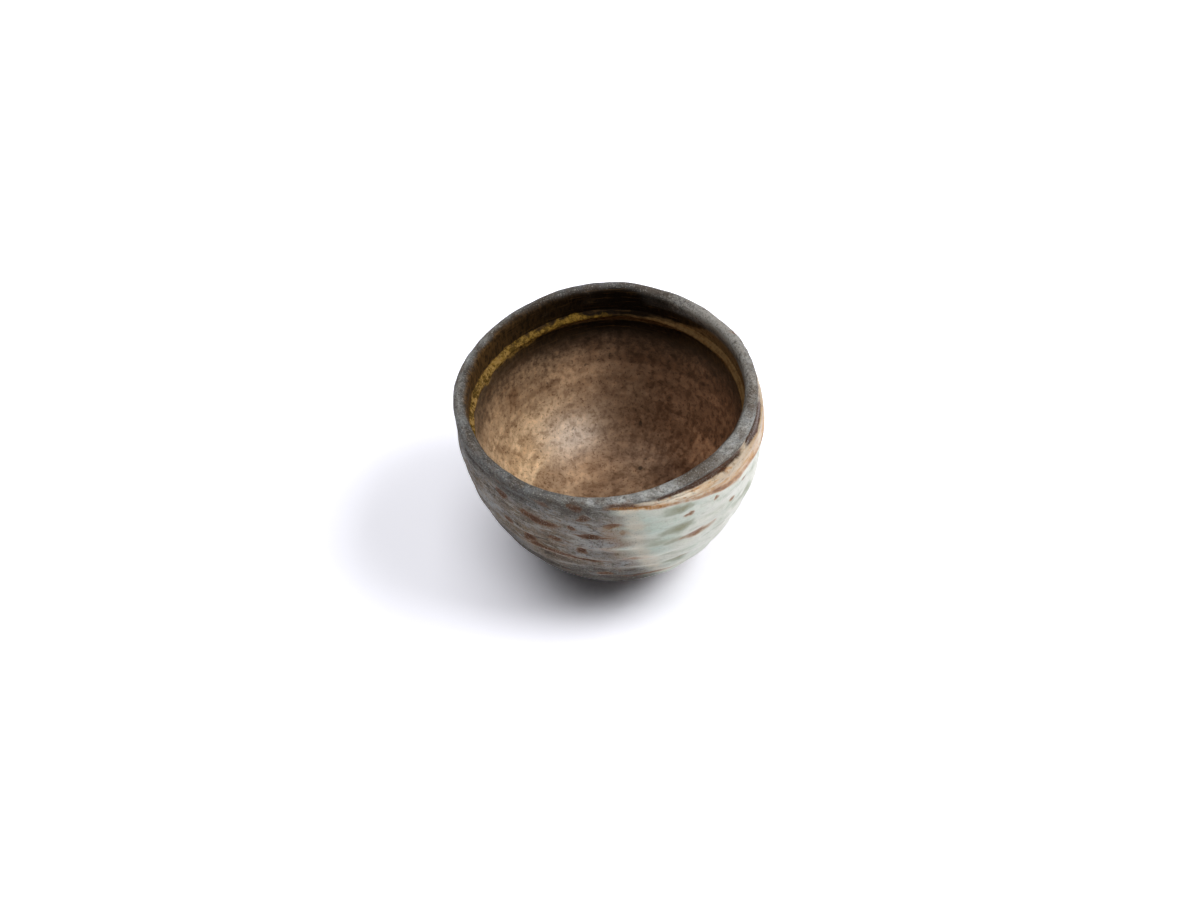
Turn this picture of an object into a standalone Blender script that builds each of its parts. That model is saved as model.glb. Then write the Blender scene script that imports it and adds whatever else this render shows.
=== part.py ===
"""A hand-thrown stoneware tea cup without a handle.

The pot is one fired thing made of six bodies of material: a thrown bowl, a foot ring luted into a groove
under it, a rolled lip luted onto its top edge, a glaze coat lining the basin, a bead of ash glaze on the
ledge inside the mouth, and a celadon coat over one side of the wall. Each is turned from its own section
and then takes the same hand-made unevenness, so neighbours stay parallel to each other.

Metres, +Z up. The origin is on the table, below the middle of the mouth.
"""

import math

import bmesh
import bpy
import numpy as np

# Overall sizes
CUP_HEIGHT = 0.0650
MOUTH_RADIUS = 0.0444
BASE_RADIUS = 0.0230

# Wall: its belly, how it leaves the base, how it comes up to the belly, and how thick it is
BELLY_SWELL = 0.0002
BELLY_DROP = 0.0086
BELLY_HANDLE = 0.0034
BASE_SLOPE = math.radians(43.0)
BASE_HANDLE = 0.0268
BASE_EDGE_ROUND = 0.0008
WALL_THICKNESS = 0.0034

# Basin: its floor, the shallow pool in the floor, and how the floor turns up into the wall
FLOOR_THICKNESS = 0.0066
FLOOR_RADIUS = 0.0160
POOL_RADIUS = 0.0096
POOL_DEPTH = 0.0005
BASIN_UPPER_HANDLE = 0.0165
BASIN_LOWER_HANDLE = 0.0160
BASIN_LOWER_RISE = 0.0020

# Throwing ridges on the outside of the wall, with the height of one of the grooves between them
RIDGE_HEIGHT = 0.00034
RIDGE_PITCH = 0.0068
RIDGE_GROOVE = 0.0490

# Lip roll, with a half-round crown
LIP_HEIGHT = 0.0034
LIP_WIDTH = 0.0037
LIP_OVERHANG = 0.0003

# Foot ring and the groove that it is luted into
BASE_SHOULDER = 0.0036
FOOT_WIDTH = 0.0052
FOOT_HEIGHT = 0.0046
FOOT_TAPER = 0.0006
FOOT_BEVEL = 0.0005
GROOVE_DEPTH = 0.0008

# Glazes: the drops are measured down from the lip's seat
GLAZE_THICKNESS = 0.0006
ASH_BEAD_DROP = 0.0051
ASH_BEAD_HEIGHT = 0.0030
ASH_BEAD_THICKNESS = 0.0019
ASH_BEAD_EDGE = 0.0004
CELADON_DROP = 0.0008
CELADON_BOTTOM_RISE = 0.0030
CELADON_START = math.radians(-84.0)
CELADON_SPAN = math.radians(180.0)

# Clearance between pieces that are fused in the fired pot
SEAM_GAP = 0.0003

# The unevenness of the hand: a lobed plan, a wavy lip and a lean
LEAN_ANGLE = math.radians(1.8)
PLAN_LOBES = 3
PLAN_SWELL = 0.0005
PLAN_SWELL_AT = math.radians(64.0)
LIP_WAVES = (
    (2, 0.0009, math.radians(-45.0)),
    (4, 0.0004, math.radians(9.0)),
    (5, 0.0002, math.radians(12.0)),
)

# Fineness of the turned solids
SEGMENTS = 60
WALL_LEVELS = 42
BASIN_LEVELS = 14
CROWN_STEPS = 9
EDGE_STEPS = 4
BEAD_STEPS = 6

# Heights and radii that follow from the sizes above
LIP_SEAT = CUP_HEIGHT - LIP_HEIGHT
MOUTH_INNER_RADIUS = MOUTH_RADIUS - LIP_WIDTH
BELLY_RADIUS = MOUTH_RADIUS + BELLY_SWELL
BELLY_HEIGHT = LIP_SEAT - BELLY_DROP
BASIN_RADIUS = BELLY_RADIUS - WALL_THICKNESS
BEAD_TOP = LIP_SEAT - ASH_BEAD_DROP
BASIN_TOP = BEAD_TOP - ASH_BEAD_HEIGHT
FLOOR_HEIGHT = FOOT_HEIGHT + FLOOR_THICKNESS
FOOT_RADIUS = BASE_RADIUS - BASE_SHOULDER
FOOT_INNER_RADIUS = FOOT_RADIUS - FOOT_WIDTH
GROOVE_TOP = FOOT_HEIGHT + GROOVE_DEPTH


def clear_scene():
    for old in list(bpy.data.objects):
        bpy.data.objects.remove(old)


def fired_material(name, colour, roughness):
    """A plain opaque material in a linear colour."""
    material = bpy.data.materials.new(name)
    material.use_nodes = True
    shader = material.node_tree.nodes["Principled BSDF"]
    shader.inputs["Base Color"].default_value = (*colour, 1.0)
    shader.inputs["Roughness"].default_value = roughness
    shader.inputs["Metallic"].default_value = 0.0
    return material


def bezier(start, start_handle, end_handle, end, count):
    """Points along a cubic Bezier curve, both ends included."""
    t = np.linspace(0.0, 1.0, count)[:, None]
    corners = [np.array(point) for point in (start, start_handle, end_handle, end)]
    weights = ((1 - t) ** 3, 3 * (1 - t) ** 2 * t, 3 * (1 - t) * t**2, t**3)
    return sum(weight * corner for weight, corner in zip(weights, corners))


def arc(centre, radius, start_deg, end_deg, steps):
    """Points along a circular arc in the section plane, both ends included."""
    angles = np.radians(np.linspace(start_deg, end_deg, steps))
    return np.array(centre) + radius * np.stack([np.cos(angles), np.sin(angles)], axis=1)


def offset_line(line, distance):
    """The line moved sideways by a distance, to its left as it runs."""
    along = np.gradient(line, axis=0)
    along /= np.linalg.norm(along, axis=1)[:, None]
    return line + distance * np.stack([-along[:, 1], along[:, 0]], axis=1)


def outer_wall():
    """The outside of the wall as (radius, height), from the base edge up to the lip's seat, with its ridges."""
    base = (BASE_RADIUS, FOOT_HEIGHT + BASE_EDGE_ROUND)
    base_handle = (
        base[0] + BASE_HANDLE * math.cos(BASE_SLOPE),
        base[1] + BASE_HANDLE * math.sin(BASE_SLOPE),
    )
    belly = (BELLY_RADIUS, BELLY_HEIGHT)
    belly_handle = (BELLY_RADIUS, BELLY_HEIGHT - BELLY_HANDLE)
    flank = bezier(base, base_handle, belly_handle, belly, 4 * WALL_LEVELS)
    line = np.concatenate([flank, [(MOUTH_RADIUS, LIP_SEAT)]])
    height = np.linspace(base[1], LIP_SEAT, WALL_LEVELS)
    radius = np.interp(height, line[:, 1], line[:, 0])
    fade = np.sin(np.pi * (height - base[1]) / (LIP_SEAT - base[1]))
    radius -= RIDGE_HEIGHT * fade * np.cos(2 * np.pi * (height - RIDGE_GROOVE) / RIDGE_PITCH)
    return np.stack([radius, height], axis=1)


def basin_floor():
    """The middle of the clay floor, with its shallow pool."""
    pool_height = FLOOR_HEIGHT - POOL_DEPTH
    return np.array([(0.0, pool_height), (POOL_RADIUS, pool_height)])


def basin_wall():
    """The clay inside the basin as (radius, height), from the floor's edge up to the ash bead's seat."""
    floor_edge = (FLOOR_RADIUS, FLOOR_HEIGHT)
    floor_handle = (FLOOR_RADIUS + BASIN_LOWER_HANDLE, FLOOR_HEIGHT + BASIN_LOWER_RISE)
    top = (BASIN_RADIUS, BASIN_TOP)
    top_handle = (BASIN_RADIUS, BASIN_TOP - BASIN_UPPER_HANDLE)
    return bezier(floor_edge, floor_handle, top_handle, top, BASIN_LEVELS)


def bowl_section():
    """The clay bowl: basin, ledge, lip seat, outer wall, trimmed base edge and the groove for the foot ring."""
    mouth = [(MOUTH_INNER_RADIUS, BEAD_TOP), (MOUTH_INNER_RADIUS, LIP_SEAT), (MOUTH_RADIUS, LIP_SEAT)]
    wall = outer_wall()[::-1][1:]
    edge_centre = (BASE_RADIUS - BASE_EDGE_ROUND, FOOT_HEIGHT + BASE_EDGE_ROUND)
    base_edge = arc(edge_centre, BASE_EDGE_ROUND, 0, -90, EDGE_STEPS)[1:]
    underside = [
        (FOOT_RADIUS + SEAM_GAP, FOOT_HEIGHT),
        (FOOT_RADIUS + SEAM_GAP, GROOVE_TOP),
        (FOOT_INNER_RADIUS - SEAM_GAP, GROOVE_TOP),
        (FOOT_INNER_RADIUS - SEAM_GAP, FOOT_HEIGHT),
        (0.0, FOOT_HEIGHT),
    ]
    return np.concatenate([basin_floor(), basin_wall(), mouth, wall, base_edge, underside])


def foot_section():
    """The foot ring: a tapered ring with a flat foot, bevelled edges and a top that fills its groove."""
    foot_top = GROOVE_TOP - SEAM_GAP
    return np.array(
        [
            (FOOT_RADIUS, foot_top),
            (FOOT_RADIUS - FOOT_TAPER, FOOT_BEVEL),
            (FOOT_RADIUS - FOOT_TAPER - FOOT_BEVEL, 0.0),
            (FOOT_INNER_RADIUS + FOOT_TAPER + FOOT_BEVEL, 0.0),
            (FOOT_INNER_RADIUS + FOOT_TAPER, FOOT_BEVEL),
            (FOOT_INNER_RADIUS, foot_top),
        ]
    )


def lip_section():
    """The lip: a roll with a half-round crown and an outer side that overhangs the wall by a little."""
    seat = LIP_SEAT + SEAM_GAP
    half_width = (LIP_WIDTH + LIP_OVERHANG) / 2
    crown_centre = (MOUTH_INNER_RADIUS + half_width, CUP_HEIGHT - half_width)
    crown = arc(crown_centre, half_width, 180, 0, CROWN_STEPS)
    return np.concatenate([crown, [(MOUTH_RADIUS, seat), (MOUTH_INNER_RADIUS, seat)]])


def basin_glaze_section():
    """The basin's glaze: a coat's face, from the middle of the floor up, and its back, a seam's gap off the clay."""
    clay = np.concatenate([basin_floor(), basin_wall()])
    back = offset_line(clay, SEAM_GAP)
    face = offset_line(clay, SEAM_GAP + GLAZE_THICKNESS)
    for line in (back, face):
        line[0, 0] = 0.0
        line[-1, 1] = BASIN_TOP
    return np.concatenate([face, back[::-1]])


def ash_bead_section():
    """The ash bead: half-round, standing on the basin glaze's top edge, a seam's gap off the clay behind it."""
    low = np.array([BASIN_RADIUS - SEAM_GAP, BASIN_TOP + SEAM_GAP])
    high = np.array([MOUTH_INNER_RADIUS - SEAM_GAP, BEAD_TOP])
    share = np.linspace(0.0, 1.0, BEAD_STEPS)
    back = low + share[:, None] * (high - low)
    face = back.copy()
    face[:, 0] -= ASH_BEAD_EDGE + (ASH_BEAD_THICKNESS - ASH_BEAD_EDGE) * np.sin(np.pi * share)
    return np.concatenate([face, back[::-1]])


def celadon_line():
    """The line, a seam's gap off the wall, that the celadon coat is thickened from, from its top to its bottom.

    It keeps the wall's own levels between its two ends, so that the coat and the wall have the same facets.
    """
    wall = outer_wall()
    low = FOOT_HEIGHT + CELADON_BOTTOM_RISE
    high = LIP_SEAT - CELADON_DROP
    inside = (wall[:, 1] > low + SEAM_GAP) & (wall[:, 1] < high - SEAM_GAP)
    height = np.concatenate([[low], wall[inside, 1], [high]])
    radius = np.interp(height, wall[:, 1], wall[:, 0])
    return offset_line(np.stack([radius, height], axis=1)[::-1], SEAM_GAP)


def section_object(section, closed):
    """A line of edges in the XZ plane through the points of a section."""
    mesh = bpy.data.meshes.new("section")
    points = [(radius, 0.0, height) for radius, height in section]
    edges = [(i, i + 1) for i in range(len(points) - 1)]
    if closed:
        edges.append((len(points) - 1, 0))
    mesh.from_pydata(points, edges, [])
    holder = bpy.data.objects.new("section", mesh)
    bpy.context.scene.collection.objects.link(holder)
    return holder


def turned(section, closed):
    """A solid of revolution from a section that is closed, or that starts and ends on the axis."""
    holder = section_object(section, closed)
    screw = holder.modifiers.new("turn", "SCREW")
    screw.steps = screw.render_steps = SEGMENTS
    screw.use_merge_vertices = True
    screw.merge_threshold = 1e-6
    return baked(holder)


def coat(line, start, span, thickness):
    """A shell over part of a turn, to the nearest segments: the line swept round, then thickened outwards."""
    step = 2 * math.pi / SEGMENTS
    segments = round(span / step)
    holder = section_object(line, closed=False)
    holder.rotation_euler.z = round(start / step) * step
    screw = holder.modifiers.new("sweep", "SCREW")
    screw.angle = segments * step
    screw.steps = screw.render_steps = segments
    solidify = holder.modifiers.new("thicken", "SOLIDIFY")
    solidify.thickness = thickness
    solidify.offset = 1.0
    return baked(holder)


def baked(holder):
    """The holder's evaluated mesh in world space. The holder and its own mesh are removed."""
    bpy.context.view_layer.update()
    graph = bpy.context.evaluated_depsgraph_get()
    mesh = bpy.data.meshes.new_from_object(holder.evaluated_get(graph))
    mesh.transform(holder.matrix_world)
    section = holder.data
    bpy.data.objects.remove(holder)
    bpy.data.meshes.remove(section)
    return mesh


def shape_by_hand(mesh):
    """Gives a turned mesh the cup's unevenness, which is nothing at the table and grows towards the lip."""
    co = np.empty(len(mesh.vertices) * 3, np.float64)
    mesh.vertices.foreach_get("co", co)
    x, y, z = co.reshape(-1, 3).T
    share = z / CUP_HEIGHT
    angle = np.arctan2(y, x)
    distance = np.hypot(x, y)
    swell = PLAN_SWELL * share * np.cos(PLAN_LOBES * (angle - PLAN_SWELL_AT))
    radius = distance + swell * np.clip(distance / BASE_RADIUS, 0.0, 1.0)
    wave = sum(rise * np.cos(count * (angle - at)) for count, rise, at in LIP_WAVES)
    x = radius * np.cos(angle)
    y = radius * np.sin(angle)
    z = z + share**2 * wave * distance / MOUTH_RADIUS + share * x * math.tan(LEAN_ANGLE)
    x = x + (1.0 - share) * CUP_HEIGHT * math.sin(LEAN_ANGLE)
    mesh.vertices.foreach_set("co", np.stack([x, y, z], axis=1).ravel())
    mesh.update()


def add_piece(name, mesh, material, collection):
    """Shapes a turned mesh by hand and adds it to the cup as a named piece."""
    shape_by_hand(mesh)
    shell = bmesh.new()
    shell.from_mesh(mesh)
    bmesh.ops.recalc_face_normals(shell, faces=shell.faces)
    shell.to_mesh(mesh)
    shell.free()
    mesh.name = name
    mesh.shade_smooth()
    mesh.set_sharp_from_angle(angle=math.radians(40.0))
    mesh.materials.clear()
    mesh.materials.append(material)
    collection.objects.link(bpy.data.objects.new(name, mesh))


def main():
    clear_scene()
    cup = bpy.data.collections.new("tea_cup")
    bpy.context.scene.collection.children.link(cup)
    clay = fired_material("wood_fired_clay", (0.24, 0.22, 0.20), 0.70)
    lip_clay = fired_material("ash_grey_lip", (0.16, 0.17, 0.18), 0.60)
    foot_clay = fired_material("bare_foot_clay", (0.20, 0.13, 0.09), 0.80)
    brown_glaze = fired_material("speckled_brown_glaze", (0.22, 0.14, 0.09), 0.35)
    ochre_glaze = fired_material("ochre_ash_glaze", (0.32, 0.22, 0.07), 0.40)
    celadon_glaze = fired_material("pale_celadon_glaze", (0.62, 0.66, 0.60), 0.35)
    celadon = coat(celadon_line(), CELADON_START, CELADON_SPAN, GLAZE_THICKNESS)
    add_piece("thrown_bowl", turned(bowl_section(), closed=False), clay, cup)
    add_piece("foot_ring", turned(foot_section(), closed=True), foot_clay, cup)
    add_piece("lip_roll", turned(lip_section(), closed=True), lip_clay, cup)
    add_piece("basin_glaze", turned(basin_glaze_section(), closed=False), brown_glaze, cup)
    add_piece("ash_bead", turned(ash_bead_section(), closed=True), ochre_glaze, cup)
    add_piece("celadon_coat", celadon, celadon_glaze, cup)


main()
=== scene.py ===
"""The looks of a hand-thrown tea cup: wood-fired clay, a rolled lip, brown and celadon glazes and melted ash.

Every piece is a grid of points: angle round the cup times place along the cup's section. Sections are in
millimetres before the unevenness of the hand is put on, and meshes are in metres in the frame's own axes.
"""

import math

import bpy
import numpy as np
from mathutils import Matrix, Vector


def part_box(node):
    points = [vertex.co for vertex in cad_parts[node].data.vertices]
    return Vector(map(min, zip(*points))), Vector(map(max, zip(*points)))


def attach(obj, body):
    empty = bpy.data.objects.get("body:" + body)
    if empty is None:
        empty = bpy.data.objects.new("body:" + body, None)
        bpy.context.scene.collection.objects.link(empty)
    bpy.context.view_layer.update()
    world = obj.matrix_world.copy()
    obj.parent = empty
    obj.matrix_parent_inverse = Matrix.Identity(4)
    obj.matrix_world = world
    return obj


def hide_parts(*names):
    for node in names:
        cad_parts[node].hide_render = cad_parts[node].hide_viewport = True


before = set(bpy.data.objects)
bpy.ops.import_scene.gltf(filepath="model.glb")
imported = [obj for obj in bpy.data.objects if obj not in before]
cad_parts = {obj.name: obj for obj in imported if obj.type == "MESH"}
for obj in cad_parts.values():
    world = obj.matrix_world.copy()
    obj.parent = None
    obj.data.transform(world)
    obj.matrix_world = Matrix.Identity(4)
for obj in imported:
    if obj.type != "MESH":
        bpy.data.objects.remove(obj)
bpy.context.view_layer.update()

# Sizes of the cup, in millimetres, as its solids have them
MM = 0.001
CUP_HEIGHT = 65.0
MOUTH_RADIUS = 44.4
MOUTH_INNER_RADIUS = 40.7
LIP_ROUND = 2.0
LIP_SEAT = 61.6
LIP_CROWN = MOUTH_INNER_RADIUS + LIP_ROUND
BELLY_RADIUS = 44.6
BELLY_HEIGHT = 53.0
BELLY_HANDLE = 3.4
BASE_RADIUS = 23.0
BASE_SLOPE = math.radians(43.0)
BASE_HANDLE = 26.8
BASE_EDGE_ROUND = 0.8
FOOT_HEIGHT = 4.6
FOOT_RADIUS = 19.4
FOOT_INNER_RADIUS = 14.2
FOOT_TAPER = 0.6
FOOT_BEVEL = 0.5
GROOVE_DEPTH = 0.8
BEAD_TOP = 56.5
BASIN_TOP = 53.5
BASIN_RADIUS = 40.3
BEAD_DEPTH = 1.5
FLOOR_RADIUS = 16.0
FLOOR_HEIGHT = 12.1
POOL_RADIUS = 10.5
POOL_DEPTH = 0.5
POOL_HEIGHT = FLOOR_HEIGHT - POOL_DEPTH
GLAZE_THICKNESS = 0.6
HIDDEN_GAP = 0.2
GROOVE_SLACK = 0.05

# Handles of the basin's curve and of its pool, as radius and height
BASIN_HANDLES = ((BASIN_RADIUS, 37.0), (32.0, 14.1))
POOL_HANDLES = ((14.0, 11.95), (12.5, POOL_HEIGHT))

# The unevenness of the hand: a lobed plan, a wavy lip and a lean
LEAN_ANGLE = math.radians(1.8)
PLAN_LOBES = 3
PLAN_SWELL = 0.5
PLAN_SWELL_AT = math.radians(64.0)
LIP_WAVES = ((2, 0.9, math.radians(-45.0)), (4, 0.4, math.radians(9.0)), (5, 0.2, math.radians(12.0)))

# Fineness of the meshes
COLUMNS = 400
WALL_ROWS = 160
LIP_ROWS = 44
MOUTH_ROWS = 14
BEAD_ROWS = 18
BASIN_ROWS = 120
COAT_COLUMNS = 240
FLOOR_ROWS = 20
RIM_ROWS = 8
FOOT_ROWS = 14
BEVEL_ROWS = 6
BACK_STEP = 12
CURVE_POINTS = 300
CLOUD_CELLS = 32

# How much the torn layers fall towards +X, per length
LAYER_TILT = 0.16

# The throwing ridges, as the solids have them: their height, their pitch and the height of one groove
RIDGE_HEIGHT = 0.34
RIDGE_PITCH = 6.8
RIDGE_GROOVE = 49.0

# Other relief: depths in millimetres, and the angle of the hollow and of the lip's fold in degrees
TORN_DEPTH = 0.34
FINE_TORN_DEPTH = 0.20
PIT_DEPTH = 0.28
SEAM_DEPTH = 0.9
HOLLOW_AT = -152.0
LIP_FOLD = 1.2
LIP_FOLD_AT = -46.0
TURNING_DEPTH = 0.08
TURNING_PITCH = 2.9

# Where the celadon coat lies: its front and far edges by height, its reach, its upper and lower ends, how
# thick it is, how far it sinks where it ends, and how far its back lies below the clay
COAT_EDGE_HEIGHTS = (5, 18, 24, 30, 37, 44, 53, 58, 66)
COAT_EDGE_DEGREES = (-66, -69, -74, -79, -81, -85, -85, -87, -90)
COAT_FAR_HEIGHTS = (5, 14, 22, 30, 38, 46, 54, 62)
COAT_FAR_DEGREES = (82, 92, 86, 101, 93, 106, 97, 104)
COAT_REACH_DEGREES = (-106.0, 122.0)
COAT_TOP = 61.9
COAT_BOTTOM = 10.0
COAT_THICKNESS = 0.75
COAT_SINK = 0.15
COAT_BACK = 0.45

# The basin's glaze, seen from above: which way it turns from deep brown to sandy, partly painted shade and
# light, where and how far its painted highlight reaches, and its two iron spots with their size
SAND_AND_LIGHT_WAY = (math.cos(math.radians(186.0)), math.sin(math.radians(186.0)))
PAINTED_HIGHLIGHT_AT = (-13.6, 24.6)
PAINTED_HIGHLIGHT_REACH = 9.0
IRON_SPOTS = ((7.7, 15.1, 0.80), (8.6, 27.4, 0.58))

# The rust line below the peach band, and the dark seam below the lip, by angle in degrees
RUST_LINE_DEGREES = (-97, -90, -85, -75, -65, -55, -45, -38, -28, -10, 20, 60, 100)
RUST_LINE_HEIGHTS = (63.6, 63.0, 61.6, 61.0, 59.8, 58.0, 55.2, 54.2, 54.3, 52.5, 54.0, 57.0, 61.0)
RUST_LINE_STRENGTH = (0.0, 0.7, 0.9, 0.7, 0.6, 0.9, 1.0, 0.8, 0.7, 0.8, 0.7, 0.5, 0.0)
SEAM_DEGREES = (-88, -76, -62, -45, -36, -31, -26, -14, -4, 12, 30, 55)
SEAM_LOW = (63.3, 62.9, 62.0, 61.5, 61.6, 61.0, 58.6, 58.4, 60.0, 60.8, 61.6, 62.4)
SEAM_HIGH = (63.5, 63.6, 64.2, 64.3, 63.4, 63.0, 63.2, 63.4, 63.6, 63.4, 63.2, 62.8)
SEAM_STRENGTH = (0.0, 0.5, 1.0, 1.0, 0.7, 0.35, 1.0, 1.0, 0.6, 0.6, 0.5, 0.0)

# Inside the mouth, the heights between which the ochre ash and the tan glaze lie, by angle in degrees
OCHRE_DEGREES = (80, 100, 115, 130, 145, 160, 175, 190, 230)
OCHRE_LOW = (53.6, 53.4, 53.0, 52.1, 51.5, 51.9, 52.0, 52.3, 53.6)
OCHRE_HIGH = (55.8, 56.2, 56.4, 56.5, 57.2, 57.2, 57.6, 57.2, 56.0)
TAN_DEGREES = (-60, 0, 30, 40, 50, 60, 70, 90, 120)
TAN_LOW = (53.0, 50.5, 52.4, 53.0, 53.6, 53.2, 52.7, 52.4, 52.6)
TAN_HIGH = (57.0, 64.0, 64.0, 60.0, 57.6, 56.4, 55.5, 54.5, 54.2)

# Rust flecks on the wall: degrees, height, half length, half height, fall per length, strength
RUST_FLECKS = (
    (-137, 57.6, 2, 1.7, 0.2, 1), (-125.5, 55, 1.5, 0.8, 0.3, 0.7), (-120, 53.6, 5.4, 1.4, 0.18, 1.1),
    (-107, 53.7, 1.5, 0.7, 0.1, 0.8), (-100.8, 58.8, 1.9, 1.5, 0, 1.1), (-105, 62.6, 1.8, 1.3, 0.3, 0.75),
    (-99.5, 49.6, 3.2, 1.1, 0.08, 1.1), (-99, 49.8, 6.5, 0.6, 0.1, 0.8), (-90, 55.3, 3.2, 0.8, 0.05, 0.9),
    (-113, 46.6, 3.2, 1, 0.1, 0.6), (-103.5, 42, 1.6, 1.3, 0, 0.95), (-135.5, 45.6, 1.6, 1.1, 0, 0.9),
    (-127, 40.6, 1.7, 1.4, 0.2, 0.95), (-111, 37.4, 10, 1, 0.16, 1.2), (-106, 36.4, 3, 0.8, 0.15, 0.8),
    (-82, 37.2, 4.2, 1.6, 0.1, 0.75), (-86, 52, 1.6, 2, 0, 0.5), (-118, 62, 4, 1.3, 0.2, 0.45),
    (-137.5, 62, 1.3, 0.9, 0.2, 0.6), (-96, 26, 3, 1, 0.1, 0.6), (-78, 20.6, 9, 0.7, 0.06, 1),
    (-60, 30.6, 2.6, 0.9, 0.25, 0.7), (-57.5, 42.2, 5.5, 1.3, 0.06, 0.85),
    (-86.5, 62.7, 4.8, 1.3, 0.05, 1.1), (-155, 50, 3, 0.7, 0.25, 0.5), (170, 46, 3.4, 0.9, 0.2, 0.8),
    (150, 54, 3, 1, 0.2, 0.9), (141, 41, 5, 0.7, 0.25, 0.9), (127, 49, 2.4, 1.1, 0.1, 0.8),
    (118, 34, 4, 0.8, 0.2, 0.9), (160, 32, 5, 0.6, 0.2, 0.8), (105, 56, 2.6, 1, 0.1, 0.8),
    (-165, 36, 4, 0.7, 0.2, 0.7), (-150, 27, 4, 0.8, 0.2, 0.8), (80, 40, 4, 0.8, 0.15, 0.7),
    (55, 33, 4, 0.8, 0.15, 0.7), (30, 44, 3.6, 0.7, 0.15, 0.6), (-62.5, 52.8, 0.9, 0.7, 0, 1),
    (-51, 54, 0.7, 0.6, 0, 0.9), (-41, 47, 0.8, 0.6, 0, 0.8), (43, 64.2, 2.6, 0.8, 0.1, 0.9),
    (29, 64.6, 1.6, 0.7, 0, 0.7), (-34, 50.5, 1.1, 0.6, 0.1, 0.8), (-8, 38, 0.9, 0.6, 0, 0.9),
    (18, 46, 0.8, 0.6, 0, 0.8), (42, 50, 1, 0.7, 0, 0.9),
)

# Green pools in the celadon, in the same terms
GREEN_POOLS = (
    (-64, 56.6, 5.2, 1.7, 0.1, 1), (-65, 49, 5, 2.3, 0, 0.75), (-68, 43.6, 8, 2.1, 0.1, 0.8),
    (-64, 30, 5.2, 2, 0.15, 1), (-70, 35.2, 5, 1, 0.1, 0.5), (-44, 36, 5.5, 1, 0.15, 0.6),
    (-28, 41, 6.5, 1.3, 0.1, 0.7), (-20, 25, 6, 1.2, 0.15, 0.7), (-6, 47.5, 6, 1.2, 0.1, 0.7),
    (14, 34, 7, 1.3, 0.15, 0.9), (30, 50, 5, 1.1, 0.1, 0.6), (46, 42, 6.5, 1.4, 0.1, 0.9),
    (62, 27, 6, 1.3, 0.2, 0.8), (76, 47, 5, 1.2, 0.1, 0.7),
)

# Colours, linear
CLAY_BLUE = (0.445, 0.456, 0.482)
CLAY_BROWN = (0.278, 0.214, 0.155)
CLAY_WARM = (0.285, 0.200, 0.130)
CLAY_PALE = (0.560, 0.555, 0.540)
CLAY_DARK = (0.058, 0.051, 0.045)
CLAY_UMBER = (0.128, 0.094, 0.066)
CLAY_SHADE = (0.620, 0.570, 0.520)
RUST_WARM = (0.205, 0.098, 0.046)
RUST_TAN = (0.420, 0.230, 0.095)
CLAY_STAIN = (0.440, 0.280, 0.185)
CLAY_MIST = (0.500, 0.510, 0.545)
RUST_BROWN = (0.095, 0.036, 0.014)
RUST_ORANGE = (0.500, 0.225, 0.055)
RUST_DEEP = (0.230, 0.088, 0.022)
CELADON_PALE = (0.770, 0.780, 0.690)
CELADON_MINT = (0.570, 0.710, 0.620)
CELADON_SHADE = (0.500, 0.540, 0.440)
CELADON_WHITE = (0.920, 0.910, 0.850)
POOL_GREEN = (0.430, 0.480, 0.370)
POOL_OLIVE = (0.300, 0.285, 0.170)
PEACH = (0.640, 0.350, 0.120)
CREAM = (0.740, 0.600, 0.430)
HALO_CREAM = (0.790, 0.710, 0.590)
BAND_GREY = (0.540, 0.430, 0.300)
SEAM_BROWN = (0.070, 0.036, 0.019)
LIP_PALE = (0.535, 0.545, 0.530)
LIP_GREY = (0.140, 0.146, 0.151)
LIP_DARK = (0.040, 0.034, 0.029)
LIP_UMBER = (0.110, 0.083, 0.062)
ASH_PALE = (0.520, 0.495, 0.450)
MOUTH_BLACK = (0.006, 0.0035, 0.0020)
MOUTH_BROWN = (0.135, 0.072, 0.025)
MOUTH_TAN = (0.165, 0.098, 0.040)
OCHRE = (0.205, 0.118, 0.018)
OCHRE_TAN = (0.350, 0.215, 0.075)
OCHRE_DARK = (0.040, 0.022, 0.004)
BASIN_SAND_LIT = (0.860, 0.622, 0.380)
BASIN_TAN = (0.335, 0.222, 0.142)
BASIN_PAINTED_HIGHLIGHT = (0.720, 0.580, 0.450)
BASIN_UMBER_SHADED = (0.178, 0.099, 0.058)
BASIN_BROWN = (0.140, 0.076, 0.039)
BASIN_SHADE = (0.520, 0.440, 0.380)
BASIN_LIGHT = (1.380, 1.340, 1.280)
BASIN_GLOW = (1.700, 1.640, 1.560)
BASIN_SPECK = (0.400, 0.320, 0.260)
BASIN_DARK = (0.016, 0.009, 0.005)
FOOT_BROWN = (0.210, 0.135, 0.090)
FOOT_DARK = (0.095, 0.062, 0.045)


def smooth_step(low, high, value):
    """0 at low, 1 at high, 3t^2 - 2t^3 between them and level beyond. High may be the lesser of the two."""
    t = np.clip((value - low) / (high - low), 0.0, 1.0)
    return t * t * (3 - 2 * t)


def bell(value, centre, half_width):
    """1 at the centre, falling as exp(-t^2) of the distance in half widths."""
    return np.exp(-(((value - centre) / half_width) ** 2))


def turn_from(degrees, centre):
    """The signed angle from a centre, between -180 and 180 degrees."""
    return (degrees - centre + 180.0) % 360.0 - 180.0


def facing(degrees, centre, half_width):
    """1 on the side of the cup at that angle, and a bell of the angle from it."""
    return bell(turn_from(degrees, centre), 0.0, half_width)


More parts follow.
